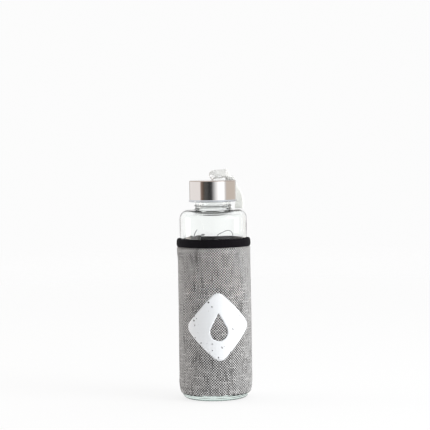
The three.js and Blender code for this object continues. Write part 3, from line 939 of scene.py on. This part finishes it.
def cutHoles(piece, places, radius, depth):
    # Round holes through the top, one at each place.
    cutters = []
    for x, y, z in places:
        points = [Vector((x, y, z - depth)), Vector((x, y, z + depth))]
        cutters.append(tube("cutterPart", points, radius, 32))
    cutter = joined("cutter", cutters)
    modifier = piece.modifiers.new("holes", "BOOLEAN")
    modifier.operation = "DIFFERENCE"
    modifier.object = cutter
    depsgraph = bpy.context.evaluated_depsgraph_get()
    shaped = bpy.data.meshes.new_from_object(piece.evaluated_get(depsgraph))
    piece.modifiers.clear()
    old = piece.data
    piece.data = shaped
    bpy.data.meshes.remove(old)
    bpy.data.objects.remove(cutter)


def capShell(setup):
    top, radius, steel = capHigh.z, setup["radius"], setup["steel"]
    inner, corner, rim = radius - steel, setup["corner"], setup["rim"]
    innerCorner = corner - steel
    rimCentre = (capHigh.x - rim, capLow.z + rim)
    meetInside = math.degrees(math.acos((rimCentre[0] - inner) / rim))
    meetOutside = math.degrees(math.acos((radius - rimCentre[0]) / rim))
    profile = [(0, top - steel), (inner - innerCorner - 1, top - steel)]
    profile += arc(inner - innerCorner, top - corner, innerCorner, 90, 0, 6)
    profile += arc(*rimCentre, rim, 180 - meetInside, 360 + meetOutside, 20)
    profile += [(radius, rimCentre[1] + 1.4), (radius, top - corner - 0.5)]
    profile += arc(radius - corner, top - corner, corner, 0, 90, 8)
    profile += [(radius - corner - 0.6, top), (0, top)]
    shell = lathe("cap_steel_shell", profile, 192, creaseAngle=35)
    cutHoles(shell, [(0, y, top) for y in (-legReach, legReach)], setup["hole"], 3)
    return shell


def capInsert(setup):
    low, high = boxOf("cap_insert")
    outer, bottom, top = high.x, low.z, high.z
    inner, rimInner, edge = outer - setup["wall"], outer - setup["rimWall"], setup["edge"]
    plateBottom, plateTop = setup["plate"]
    start = screwThread["start"] + screwThread["lead"] / 2
    profile = [(0, plateBottom), (inner - 0.8, plateBottom)]
    profile += arc(inner - 0.5, plateBottom - 0.5, 0.5, 90, 0, 4)
    profile += straight((inner, plateBottom - 0.6), (inner, bottom + edge), 90)
    profile += [(inner + edge, bottom), (outer - edge, bottom), (outer, bottom + edge)]
    profile += straight((outer, bottom + 1), (outer, top - 1), 6)
    profile += [(outer - edge, top - 0.5), (outer - 1, top), (rimInner + 0.2, top),
                (rimInner, top - 0.2), (rimInner, plateTop + 0.2), (rimInner - 0.2, plateTop),
                (0, plateTop)]

    def warp(angle, radius, height):
        if abs(radius - inner) < 0.01:
            return radius - ridgeHeight(angle, height, start), height
        return radius, height

    return lathe("cap_liner", profile, 192, warp, creaseAngle=50)


def capSeal(setup):
    low, high = boxOf("cap_seal")
    grooveHeights = [high.z - drop * setup["grooveDepth"] for drop in (0, 1, 1, 0)]
    profile = roundedSection(setup["inner"], high.x, low.z, high.z, setup["soft"], 4,
                             topRun=zip(setup["groove"], grooveHeights))
    return lathe("cap_silicone_seal", profile, 128)


def strapBridge(setup):
    low, bend = bridgeLow.z, setup["bend"]
    side = [Vector((0, legReach, low + k * (barHeight - bend - low) / 8)) for k in range(9)]
    side += [Vector((0, legReach - bend + y, barHeight - bend + z))
             for y, z in arc(0, 0, bend, 9, 90, 9)]
    other = [Vector((0, -p.y, p.z)) for p in reversed(side)]
    middle = [Vector((0, y, barHeight)) for y in (3, 1, -1, -3)]
    return tube("strap_wire_bridge", side + middle + other, setup["wire"], 24)


addPiece(capShell(cap), "cap", "cap_steel", capSteelMaterial, "cap_shell")
addPiece(capInsert(insert), "cap", "cap_liner", linerMaterial, "cap_insert")
addPiece(capSeal(gasket), "seal", "seal_silicone", sealMaterial, "cap_seal")
addPiece(strapBridge(bridge), "cap", "cap_steel", wireSteelMaterial, "strap_bridge")
for nodeName in ("bridge_washer_front", "bridge_washer_back"):
    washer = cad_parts[nodeName]
    dress(washer, wireSteelMaterial)
    softened = washer.modifiers.new("soft", "BEVEL")
    softened.width = 0.06 * mm
    softened.segments = 2
print("cap made")

# ribbon

ribbon = {
    "width": 8.6,
    "thickness": 0.72,
    "stepsPerStation": 12,
    "cup": 0.28,  # how far its edges curl off its face
    "ripple": 0.16,
    "wrap": 1.8,  # radius of the turn round the wire
    "tackStation": 18,
}
tackStitch = {
    "pitch": 0.72,
    "lift": 0.08,
    "length": 0.95,
    "radius": 0.11,
}


def ribbonStations(wrap):
    # Middle of the ribbon, then the direction across it, from the bridge and back to it.
    stations = []
    for angle in (-70, -110, -150):
        turn = math.radians(angle)
        stations.append((wrap * math.cos(turn), 0, barHeight + wrap * math.sin(turn), 0, 1, 0))
    stations += [
        (-2.4, 0, 224.5, 0, 1, 0),  # left of the wire, rising loosely
        (-2.9, 0.1, 225.7, 0, 1, 0.05),
        (-2.4, 0.3, 227, 0, 0.98, 0.2),
        (-1.1, 0.7, 228, 0, 0.88, 0.45),  # upper run, right and over the edge of the cap
        (1.4, 1.2, 228.6, 0, 0.74, 0.66),
        (4.8, 1.8, 228.8, 0, 0.66, 0.75),
        (9.6, 2.8, 228.8, 0, 0.62, 0.78),
        (14.2, 4.2, 228.7, 0, 0.45, 0.88),
        (16.9, 7.2, 228.1, -0.18, 0.3, 0.9),
        (17.2, 10.8, 227.4, -0.6, 0.14, 0.74),
        (16.9, 14.5, 226.2, -0.88, 0.08, 0.38),
        (17.3, 18.3, 225.1, -0.96, 0.05, 0.12),
        (18.2, 21.8, 222.6, -0.98, 0.1, 0.02),
        (19.6, 22.9, 218.4, -0.98, 0.16, 0.02),  # outer fall, down to the turn above the shoulder
        (22.3, 21.8, 213, -0.97, 0.2, 0.03),
        (25, 20.4, 208.4, -0.96, 0.26, 0.05),
        (27, 18.9, 203.2, -0.95, 0.3, 0.08),
        (27.7, 18.2, 197.8, -0.95, 0.3, 0.1),
        (27.3, 17.9, 194.1, -0.95, 0.3, 0.1),
        (26.9, 17.1, 192, -0.95, 0.3, 0.1),
        (26.6, 16.4, 194, -0.95, 0.3, 0.1),  # inner run, back up and under the upper one
        (27, 16.5, 198, -0.95, 0.3, 0.1),
        (26.3, 17.2, 203.2, -0.95, 0.3, 0.08),
        (24.3, 18.7, 208.4, -0.96, 0.26, 0.05),
        (21.6, 20.1, 213, -0.97, 0.2, 0.03),
        (19, 21.2, 218.2, -0.98, 0.16, 0.02),
        (17.8, 20.4, 221.2, -0.98, 0.1, 0.02),
        (16.9, 17, 223.2, -0.96, 0.08, 0.12),
        (16.2, 12.8, 224.1, -0.88, 0.15, 0.3),
        (13.6, 8.4, 224.5, -0.5, 0.6, 0.4),
        (9.6, 4.6, 223.9, -0.1, 0.96, -0.2),
        (5.2, 1.4, 223.9, 0, 0.97, 0.25),
    ]
    return stations


def ribbonLines(setup):
    stations = ribbonStations(setup["wrap"])
    steps = setup["stepsPerStation"]
    middles = spline([Vector(row[:3]) for row in stations], steps, closed=True)
    acrosses = spline([Vector(row[3:]) for row in stations], steps, closed=True)
    lines = []
    for i, (middle, across) in enumerate(zip(middles, acrosses)):
        along = (middles[(i + 1) % len(middles)] - middles[i - 1]).normalized()
        across = (across - along * across.dot(along)).normalized()
        lines.append((middle, along, across, along.cross(across)))
    return lines


def ribbonSection(line, setup, share):
    # Rounded flat section whose edges curl a little, with a thicker woven edge.
    middle, _, across, face = line
    half, thick = setup["width"] / 2, setup["thickness"] / 2
    station = share * ribbonCount
    free = smooth((station - 3) / 3) * smooth((ribbonCount - 1 - station) / 2)  # flat by the wire
    count = 12
    ring = []
    for side in (1, -1):
        for k in range(count + 1):
            s = side * (1 - 2 * k / count)
            curl = setup["cup"] * free * (s * s - 0.33) * math.sin(around * share * 3 + 1.0)
            wave = setup["ripple"] * free * math.sin(around * share * 11 + 2.2 * s)
            edge = 1.12 if abs(s) > 0.8 else 1.0
            if k in (0, count):
                edge = 0.55
            ring.append(middle + across * (s * half) + face * (side * thick * edge + curl + wave))
    return ring


ribbonRows = ribbonLines(ribbon)
ribbonCount = len(ribbonRows) // ribbon["stepsPerStation"]


def strapRibbon(setup):
    rings = [ribbonSection(line, setup, i / len(ribbonRows)) for i, line in enumerate(ribbonRows)]
    return skin("strap_ribbon_loop", rings, closed=True, creaseAngle=70)


def strapTack(setup, stitch):
    # Close zigzag stitches through both runs of the ribbon.
    first = setup["tackStation"] * setup["stepsPerStation"]
    lift = setup["thickness"] / 2 + stitch["lift"]
    places = []
    for row in range(-2, 3):
        middle, along, across, face = ribbonRows[first + row]
        for k in range(9):
            spot = middle + across * (stitch["pitch"] * (k - 4)) + face * lift
            slant = (across * 0.8 + along * (0.5 if (k + row) % 2 else -0.5)).normalized()
            places.append((spot, slant, face))
    return stitches("strap_stitched_tack", places, stitch["length"], stitch["radius"])


addPiece(strapRibbon(ribbon), "strap", "ribbon", ribbonMaterial, "strap_ribbon")
addPiece(strapTack(ribbon, tackStitch), "strap", "ribbon", whiteThreadMaterial, "strap_bar_tack")
print("ribbon made")

# sleeve

sleeve = {
    "radius": 37.3,
    "cloth": 0.7,
    "foldInner": 34.4,  # where the turned-up hem lies on the lining
    "bottom": 5.6,
    "foldTop": 13.2,
    "top": 153.4,
    "gathers": 38,  # pinches where the elastic draws the hem in
    "gatherDepth": 0.45,
    "hemPull": 0.75,
    "tab": (35.75, 0.4, 159.6),  # edge held in the binding: radius, thickness, height
    "foam": 1.2,
    "lining": 0.5,
}
backStrip = {
    "angle": 129,
    "half": 3.5,
    "lift": (0.55, 0.08),  # outer and inner face above the cloth
    "rows": 90,
    "stitchAcross": 2.1,
    "stitchCount": 52,
    "stitchLift": 0.62,
    "stitchLength": 1.9,
    "stitchRadius": 0.13,
}
hemStitch = {
    "below": 0.6,  # under the top of the fold
    "count": 96,
    "length": 1.7,
    "radius": 0.12,
}


swells = (  # depth, folds round, height of a fold, start
    (0.16, 2, 37, 0.6),
    (0.12, 3, -23, 0),
    (0.08, 5, 13, 2.0),
)


def clothSwell(angle, height):
    # The padded wall's slow unevenness, shared by all that lies on it.
    turn = math.radians(angle)
    swell = sum(depth * math.sin(folds * turn + height / rise + start)
                for depth, folds, rise, start in swells)
    share = smooth((height - 14) / 12) * smooth((150 - height) / 10)  # none at hem and binding
    return (0.7 * swell - 0.3 + 0.35 * math.cos(turn)) * share


def gather(angle, height):
    # Pinches near the hem, fading upwards.
    turn = math.radians(angle)
    phase = sleeve["gathers"] * turn + 1.3 * math.sin(3 * turn)
    fade = smooth((26 - height) / 16)
    return fade, math.cos(phase) * (0.75 + 0.25 * math.sin(5 * turn + 1))


def hemPull(height):  # the elastic draws the hem in
    return sleeve["hemPull"] * smooth((18 - height) / 9)


def sleeveOuter(setup):
    radius, bottom, foldTop, top = setup["radius"], setup["bottom"], setup["foldTop"], setup["top"]
    inner = radius - setup["cloth"]
    lining = setup["foldInner"]
    foldOuter = inner - 0.1
    legOuter = lining + 0.4
    slotOuter = foldOuter - 0.6
    tab, tabThickness, tabTop = setup["tab"]
    profile = straight((lining, foldTop), (lining, bottom + 0.6), 6)
    profile += bow((lining, bottom + 0.6), (lining, bottom), (lining + 0.8, bottom), 4)[1:]
    profile += bow((lining + 0.8, bottom), (foldOuter, bottom), (foldOuter, bottom + 1.6), 7)[1:]
    profile += bow((foldOuter, bottom + 1.6), (radius, foldTop - 5), (radius, foldTop + 1), 10)[1:]
    profile += straight((radius, foldTop + 1), (radius, top), 72)[1:]
    profile += [(tab, top + 1), (tab, tabTop), (tab - tabThickness, tabTop),
                (tab - tabThickness, top + 0.8), (inner, top - 0.1)]
    profile += straight((inner, top - 0.1), (inner, foldTop + 5), 20)[1:]
    profile += bow((inner, foldTop + 5), (inner, foldTop), (slotOuter, foldTop - 1.2), 5)[1:]
    profile += [(slotOuter, bottom + 1.4), (legOuter, bottom + 1.2), (legOuter, foldTop)]

    def warp(angle, r, h):
        if r > inner - 0.05 and h > foldTop:
            r += clothSwell(angle, h)
        fade, pinch = gather(angle, h)
        if r > legOuter + 0.1:
            r += setup["gatherDepth"] * 0.6 * fade * (pinch - 0.6) - hemPull(h)
        h += 0.6 * fade * smooth((bottom + 4 - h) / 4) * (1 - pinch)
        return r, h

    return lathe("sleeve_cloth_outer", profile, 304, warp, creaseAngle=60)


def sleeveFoam(setup):
    low, high = boxOf("sleeve_foam")
    outer, inner, soft = high.x, high.x - setup["foam"], 0.3
    profile = roundedSection(inner, outer, low.z, high.z, soft, 3,
                             outerRun=straight((outer, low.z + 1), (outer, high.z - 1), 24),
                             innerRun=straight((inner, high.z - 1), (inner, low.z + 1), 24))

    def warp(angle, r, h):
        if r > outer - soft - 0.01:
            r += min(0, clothSwell(angle, h))
        return r, h

    return lathe("sleeve_foam_padding", profile, 160, warp)


def sleeveLining(setup):
    low, high = boxOf("sleeve_lining")
    outer, inner = high.x, high.x - setup["lining"]
    profile = straight((outer, low.z), (outer, high.z), 30)
    profile += straight((inner, high.z), (inner, low.z), 30)

    def warp(angle, r, h):
        return r - 0.06 * (1 + math.sin(math.radians(5 * angle) + h / 9)), h

    return lathe("sleeve_cloth_lining", profile, 160, warp)


def hemElastic(setup):
    low, high = boxOf("sleeve_hem_elastic")
    outer, inner = high.x - setup["hemPull"] + 0.25, high.x - setup["hemPull"] - 0.05
    ribs, steps = 6, 24
    profile = []
    for k in range(steps + 1):  # fine cords woven into the tape
        wave = 0.07 * math.cos(around * ribs * k / steps)
        profile.append((outer - 0.07 + wave, low.z + (high.z - low.z) * k / steps))
    profile += straight((inner, high.z), (inner, low.z), 6)
    return lathe("sleeve_elastic_tape", profile, 192)


binding = {
    "radius": 37.4,
    "inner": 34.45,
    "bottom": 154.6,
    "top": 162.7,
    "joinAngles": (113, 145),
    "wrinkle": 0.13,
    "channel": 1.3,  # width of the slot for the cloth edge and the cord
    "cordHeight": 161,
    "gap": 0.3,
    "shoulderDrop": 4.2,
}


def foldedProfile(setup, outerRadius, top):
    # Section of the folded ring with the channel for the cloth edge and the cord.
    inner, bottom, gap = setup["inner"], setup["bottom"], setup["gap"]
    tab, tabThickness, _ = sleeve["tab"]
    channelInner = tab - tabThickness - gap
    channelOuter = channelInner + setup["channel"]
    channelTop = setup["cordHeight"] + drawCord["radius"] + gap
    crown = (outerRadius + inner) / 2
    bulge = setup["top"] - setup["shoulderDrop"]
    lowEdge = (outerRadius - 0.5, bottom + 0.15)
    profile = [(channelOuter, bottom + 0.3), (channelOuter + 0.2, bottom)]
    profile += [(outerRadius - 0.7, bottom), lowEdge]
    profile += bow(lowEdge, (outerRadius + 0.2, bottom + 2.4), (outerRadius, bulge), 9)[1:]
    profile += bow((outerRadius, bulge), (outerRadius - 0.2, top), (crown, top), 9)[1:]
    profile += bow((crown, top), (inner + 0.1, top), (inner, bulge), 9)[1:]
    profile += straight((inner, bulge), (inner, bottom), 8)[1:]
    profile += [(channelInner, bottom)]
    profile += straight((channelInner, bottom + 0.3), (channelInner, channelTop), 4)
    profile += straight((channelOuter, channelTop), (channelOuter, bottom + 0.6), 4)
    return profile, channelOuter, channelTop


def topBinding(setup):
    profile, channelOuter, channelTop = foldedProfile(setup, setup["radius"], setup["top"])
    first, last = setup["joinAngles"]

    def warp(angle, r, h):
        turn = math.radians(angle)
        if r > channelOuter + 0.05:
            skinDepth = smooth((r - channelOuter - 0.1) / 0.4)
        else:
            skinDepth = smooth((h - channelTop - 0.1) / 0.9)
        crease = math.sin(61 * turn + 1.6 * math.sin(4 * turn) + (h - 158) * 0.25)
        crease *= 0.6 + 0.4 * math.sin(9 * turn + 0.5)
        slow = 0.14 * math.sin(4 * turn + 0.9) + 0.1 * math.sin(7 * turn)
        r += (setup["wrinkle"] * crease + slow) * skinDepth
        h += 0.12 * math.sin(6 * turn + 2) * smooth((h - 160) / 3)
        return r, h

    return lathe("sleeve_binding_tape", profile, 540, warp, 60, last, first + 360)


def sleeveJoin(setup):
    first, last = setup["joinAngles"]
    margin = math.degrees(setup["gap"] / 36.2)
    profile, channelOuter, channelTop = foldedProfile(
        setup, setup["radius"] - 0.4, setup["top"] + 1)
    lumpFrom = channelTop + 0.05

    def warp(angle, r, h):
        share = (angle - first) / (last - first)
        lump = math.sin(math.pi * share) ** 0.5
        fold = 0.18 * math.sin(around * 3.2 * share + h * 0.3)
        if h > lumpFrom:
            rise = 0.5 * math.sin(around * 1.5 * share + 0.8) + 0.3 * (lump - 1)
            h += rise * smooth((h - lumpFrom) / 2)
        if r > channelOuter + 0.12:
            r += fold
        return r, h

    return lathe("sleeve_join_fold", profile, 72, warp, 60, first + margin, last - margin)


def onCloth(across, height, turn, lift):
    # A place on the outer cloth: distance round it from the middle angle, height, and lift.
    angle = turn + math.degrees(across / sleeve["radius"])
    return polar(angle, sleeve["radius"] + clothSwell(angle, height) + lift, height)


def backSeam(setup):
    low, high = boxOf("sleeve_back_seam")
    half, rows = setup["half"], setup["rows"]
    outerLift, innerLift = setup["lift"]
    rings = []
    for i in range(rows + 1):
        height = low.z + (high.z - low.z) * i / rows
        ring = []
        for k in range(9):
            edge = 0.16 * (abs(k - 4) / 4) ** 4
            crown = 0.1 * math.cos(around * (k - 4) / 8)  # two soft rolls beside the stitching
            lift = outerLift - edge - crown
            ring.append(onCloth(half * (1 - k / 4), height, setup["angle"], lift))
        ring += [onCloth(half * (k / 4 - 1), height, setup["angle"], innerLift) for k in range(9)]
        rings.append(ring)
    return skin("sleeve_seam_strip", rings, creaseAngle=60)


def seamStitches(setup):
    low, high = boxOf("sleeve_back_seam")
    places = []
    for side in (-setup["stitchAcross"], setup["stitchAcross"]):
        for i in range(setup["stitchCount"]):
            height = low.z + 2 + (high.z - low.z - 4) * i / (setup["stitchCount"] - 1)
            spot = onCloth(side, height, setup["angle"], setup["stitchLift"])
            out = Vector((spot.x, spot.y, 0)).normalized()
            places.append((spot, Vector((0, 0, 1)), out))
    return stitches("sleeve_seam_stitches", places, setup["stitchLength"], setup["stitchRadius"])


def hemStitches(setup, hem):
    places = []
    height = hem["foldTop"] - setup["below"]
    for i in range(setup["count"]):
        angle = 360 * i / setup["count"]
        fade, pinch = gather(angle, height)
        radius = hem["radius"] - 0.02 + 0.27 * fade * (pinch - 0.6) - hemPull(height)
        spot = polar(angle, radius, height)
        places.append((spot, polar(angle + 90, 1, 0), polar(angle, 1, 0)))
    return stitches("sleeve_hem_stitches", places, setup["length"], setup["radius"])


emblem = {
    "reach": 34.0,
    "corner": 8.0,
    "height": 75.6,
    "turn": 6.2 - 90,  # angle of the middle from +X
    "tilt": 1.25,  # degrees that it leans to the left
    "dropRadius": 9.0,
    "dropTip": 19.0,
    "dropFall": 5.0,
    "lift": 0.14,
    "thickness": 0.16,
    "grid": 1.6,
}


def emblemOutlines(setup):
    centre = setup["reach"] - setup["corner"]
    diamond = []
    for side in range(4):
        turn = 90 * side
        middle = polar(turn, centre, 0)
        diamond += arc(middle.x, middle.y, setup["corner"], turn - 45, turn + 45, 12)
    fall, radius, tip = setup["dropFall"], setup["dropRadius"], setup["dropTip"]
    touch = 90 - math.degrees(math.acos(radius / tip))
    drop = [(0.0, tip - fall)] + arc(0, -fall, radius, touch, -180 - touch, 40)
    return diamond, drop


def dense(outline, step):  # extra points along the straight stretches
    points = []
    for i, start in enumerate(outline):
        end = outline[(i + 1) % len(outline)]
        count = max(1, round(math.dist(start, end) / step))
        points += straight(start, end, count)[:-1]
    return points


def inside(point, outline):
    x, y = point
    found = False
    for i, (x1, y1) in enumerate(outline):
        x2, y2 = outline[i - 1]
        if (y1 > y) != (y2 > y) and x < (x2 - x1) * (y - y1) / (y2 - y1) + x1:
            found = not found
    return found


def emblemPrint(setup):
    # A flat outline with an even grid inside it, laid on the curved cloth.
    diamond, drop = (dense(outline, 1.0) for outline in emblemOutlines(setup))

    def printed(spot):
        return inside(spot, diamond) and not inside(spot, drop)

    points = [Vector(p) for p in diamond + drop]
    edges = []
    start = 0
    for outline in (diamond, drop):
        edges += [(start + k, start + (k + 1) % len(outline)) for k in range(len(outline))]
        start += len(outline)
    reach, step = setup["reach"], setup["grid"]
    count = int(reach / step) + 1
    for i in range(-count, count + 1):
        for j in range(-count, count + 1):
            spot = (i * step + 0.5 * step * (j % 2), j * step * 0.87)
            far = min(math.dist(spot, p) for p in diamond + drop)
            if far > 0.55 * step and printed(spot):
                points.append(Vector(spot))
    flat, _, faces, _, _, _ = delaunay_2d_cdt(points, edges, [], 0, 1e-5)
    lean = Matrix.Rotation(math.radians(setup["tilt"]), 2)
    shape = bmesh.new()
    corners = []
    for p in flat:
        x, y = lean @ p
        spot = onCloth(x, setup["height"] + y, setup["turn"], setup["lift"])
        corners.append(shape.verts.new(spot * mm))
    for face in faces:
        middle = sum((flat[k] for k in face), Vector((0, 0))) / len(face)
        if printed(middle):
            shape.faces.new([corners[k] for k in face])
    for corner in [v for v in shape.verts if not v.link_faces]:
        shape.verts.remove(corner)
    for face in shape.faces:
        face.normal_update()
        if face.normal.dot(face.calc_center_median() * Vector((1, 1, 0))) < 0:
            face.normal_flip()
    piece = meshObject("sleeve_emblem", shape)
    thick = piece.modifiers.new("thick", "SOLIDIFY")
    thick.thickness = setup["thickness"] * mm
    thick.offset = 1
    return piece


outerCloth = addPiece(sleeveOuter(sleeve), "sleeve", "sleeve_cloth", clothMaterial, "sleeve_outer")
foam = addPiece(sleeveFoam(sleeve), "sleeve", "sleeve_foam", foamMaterial, "sleeve_foam")
lining = addPiece(sleeveLining(sleeve), "sleeve", "sleeve_lining", liningMaterial, "sleeve_lining")
addPiece(hemElastic(sleeve), "sleeve", "elastic", elasticMaterial, "sleeve_hem_elastic")
addPiece(topBinding(binding), "sleeve", "binding", bindingMaterial, "sleeve_top_binding")
addPiece(sleeveJoin(binding), "sleeve", "sleeve_cloth", clothMaterial, "sleeve_join")
seamStrip = addPiece(backSeam(backStrip), "sleeve", "sleeve_cloth", clothMaterial,
                     "sleeve_back_seam")
seamThreads = addPiece(seamStitches(backStrip), "sleeve", "sleeve_cloth", greyThreadMaterial)
hemThreads = addPiece(hemStitches(hemStitch, sleeve), "sleeve", "sleeve_cloth", greyThreadMaterial)
addPiece(emblemPrint(emblem), "sleeve", "print", printMaterial, "emblem_print")
dress(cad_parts["draw_cord_inner"], cordMaterial)
print("sleeve made")

# studio

studio = {
    "backdrop": 0.972,
    "ceiling": 1.25,
    "flagTurn": -30,  # azimuth of the black cloth that shades the front left
    "flagReach": (15, 80),  # degrees from its middle at which it is full, and gone
    "flag": 0.12,
    "behind": (140, 150),  # azimuths from which the light is the backdrop's
    "behindRise": 0.03,
    "floorColour": (0.17, 0.17, 0.17),
    "floorGlow": 0.8,  # the lit table as the camera sees it
    "floorLight": 0.72,  # what it throws on the bottle
    "floorReach": 2600.0,
    "floorFade": (0.97, 0.3),  # shares of the reach
    "floorDrop": 0.2,
    "throughGlass": 1.0,  # how far reflections inside the glass show the backdrop
    "bandHeights": (0.15, 0.4),  # how far above and below level the bands reach, and fade out
    # azimuth from the front in degrees, + towards +X, then the light that comes from there
    "bands": (
        (-180, (0.5, 0.48, 0.47)),
        (-156, (0.6, 0.57, 0.55)),
        (-144, (0.96, 0.92, 0.90)),
        (-65, (0.98, 0.93, 0.91)),
        (-61.5, (0.44, 0.36, 0.31)),
        (-56, (0.234, 0.169, 0.143)),
        (-50, (0.169, 0.123, 0.099)),
        (-45, (0.104, 0.087, 0.069)),
        (-38, (0.097, 0.094, 0.090)),
        (-25, (0.075, 0.075, 0.073)),
        (-17, (0.036, 0.036, 0.036)),
        (-10, (0.050, 0.050, 0.051)),
        (-5, (0.068, 0.068, 0.070)),
        (-2, (0.165, 0.164, 0.166)),
        (3, (0.373, 0.372, 0.375)),
        (8, (0.571, 0.571, 0.573)),
        (13, (0.805, 0.805, 0.807)),
        (18, (1.0, 1.0, 1.0)),
        (23, (1.12, 1.12, 1.12)),
        (28, (1.45, 1.45, 1.46)),
        (54, (1.65, 1.65, 1.66)),
        (60, (1.17, 1.17, 1.17)),
        (65, (0.83, 0.82, 0.81)),
        (69, (0.66, 0.62, 0.61)),
        (72, (0.675, 0.60, 0.535)),
        (140, (0.675, 0.60, 0.535)),
        (156, (0.78, 0.77, 0.76)),
        (180, (0.5, 0.48, 0.47)),
    ),
    # name, place, size, watts, colour
    "softboxes": (
        ("rightSoftbox", (1400, -700, 650), 900, 16, (0.97, 0.99, 1.0)),
        ("leftSoftbox", (-1500, 350, 300), 700, 7, (1.0, 0.88, 0.8)),
    ),
    "softboxTarget": (0, 0, 110),
}


def makeWorld(setup):
    world = bpy.data.worlds.new("studio")
    scene.world = world
    world.use_nodes = True
    tree = world.node_tree
    background = tree.nodes["Background"]
    axes = axesOf(tree, addNode(tree, "TexCoord").outputs["Generated"])
    azimuth = sums(tree, "ARCTAN2", axes["X"], times(tree, axes["Y"], -1.0))
    ramp = addNode(tree, "ValToRGB", {"Fac": sums(tree, "MULTIPLY_ADD", azimuth, 1 / around, 0.5)})
    stops = ramp.color_ramp.elements
    while len(stops) > 1:
        stops.remove(stops[-1])
    for k, (angle, colour) in enumerate(setup["bands"]):
        stop = stops[0] if k == 0 else stops.new((angle + 180) / 360)
        stop.position = (angle + 180) / 360
        stop.color = (*shade(colour, 0.5), 1.0)  # halved here and doubled below
    bands = mixColours(tree, 1.0, ramp.outputs["Color"], (2.0, 2.0, 2.0), "MULTIPLY")
    height = spread(tree, sums(tree, "ABSOLUTE", axes["Z"]), *setup["bandHeights"])
    light = mixColours(tree, height, bands, (setup["ceiling"],) * 3)
    backdrop = (setup["backdrop"],) * 3
    fromFront = sums(tree, "ABSOLUTE", azimuth)
    behind = times(tree, spread(tree, fromFront, *map(math.radians, setup["behind"])),
                   spread(tree, axes["Z"], 0.0, setup["behindRise"]))
    light = mixColours(tree, behind, light, backdrop)
    path = addNode(tree, "LightPath").outputs
    turned = sums(tree, "SUBTRACT", azimuth, math.radians(setup["flagTurn"]))
    flag = spread(tree, sums(tree, "ABSOLUTE", turned), *map(math.radians, setup["flagReach"]),
                  setup["flag"], 1.0, "SMOOTHSTEP")
    flagged = mixColours(tree, 1.0, light, vectorOf(tree, flag, flag, flag), "MULTIPLY")
    light = mixColours(tree, path["Is Diffuse Ray"], light, flagged)
    straightOn = sums(tree, "MAXIMUM", path["Is Camera Ray"], path["Is Transmission Ray"])
    throughGlass = spread(tree, path["Transmission Depth"], 0, 1, 0.0, setup["throughGlass"])
    straightOn = sums(tree, "MAXIMUM", straightOn, throughGlass)
    light = mixColours(tree, straightOn, light, backdrop)
    feed(background, "Color", light)


def addFloor(setup):
    # Its edge fades out, so that it meets the backdrop softly.
    reach = setup["floorReach"] * mm
    shape = bmesh.new()
    bmesh.ops.create_circle(shape, cap_ends=True, segments=96, radius=reach)
    floor = meshObject("studio_floor", shape)
    floor.location.z = -setup["floorDrop"] * mm
    material, tree, shader = newMaterial("palePaper", {
        "Roughness": 0.75, "Specular IOR Level": 0.0, "Emission Strength": 1.0})
    spot = objectPlace(tree)
    distance = addNode(tree, "VectorMath", {0: spot}, operation="LENGTH").outputs["Value"]
    fade = [reach * share for share in setup["floorFade"]]
    feed(shader, "Alpha", spread(tree, distance, *fade, kind="SMOOTHSTEP"))
    grain = spread(tree, noise(tree, spot, 700.0), 0.3, 0.7)
    colour = setup["floorColour"]
    feed(shader, "Base Color", mixColours(tree, grain, shade(colour, 0.99), colour))
    thrown = addNode(tree, "LightPath").outputs["Is Diffuse Ray"]
    glow = mixColours(tree, thrown, (setup["floorGlow"],) * 3, (setup["floorLight"],) * 3)
    feed(shader, "Emission Color", glow)
    floor.data.materials.append(material)


def addSoftbox(name, spot, size, power, colour):
    light = bpy.data.objects.new(name, bpy.data.lights.new(name, "AREA"))
    scene.collection.objects.link(light)
    light.location = Vector(spot) * mm
    aim = Vector(studio["softboxTarget"]) * mm - light.location
    light.rotation_euler = aim.to_track_quat("-Z", "Y").to_euler()
    light.data.size = size * mm
    light.data.energy = power
    light.data.color = colour
    light.visible_glossy = False


makeWorld(studio)
addFloor(studio)
for softbox in studio["softboxes"]:
    addSoftbox(*softbox)
print("studio made")
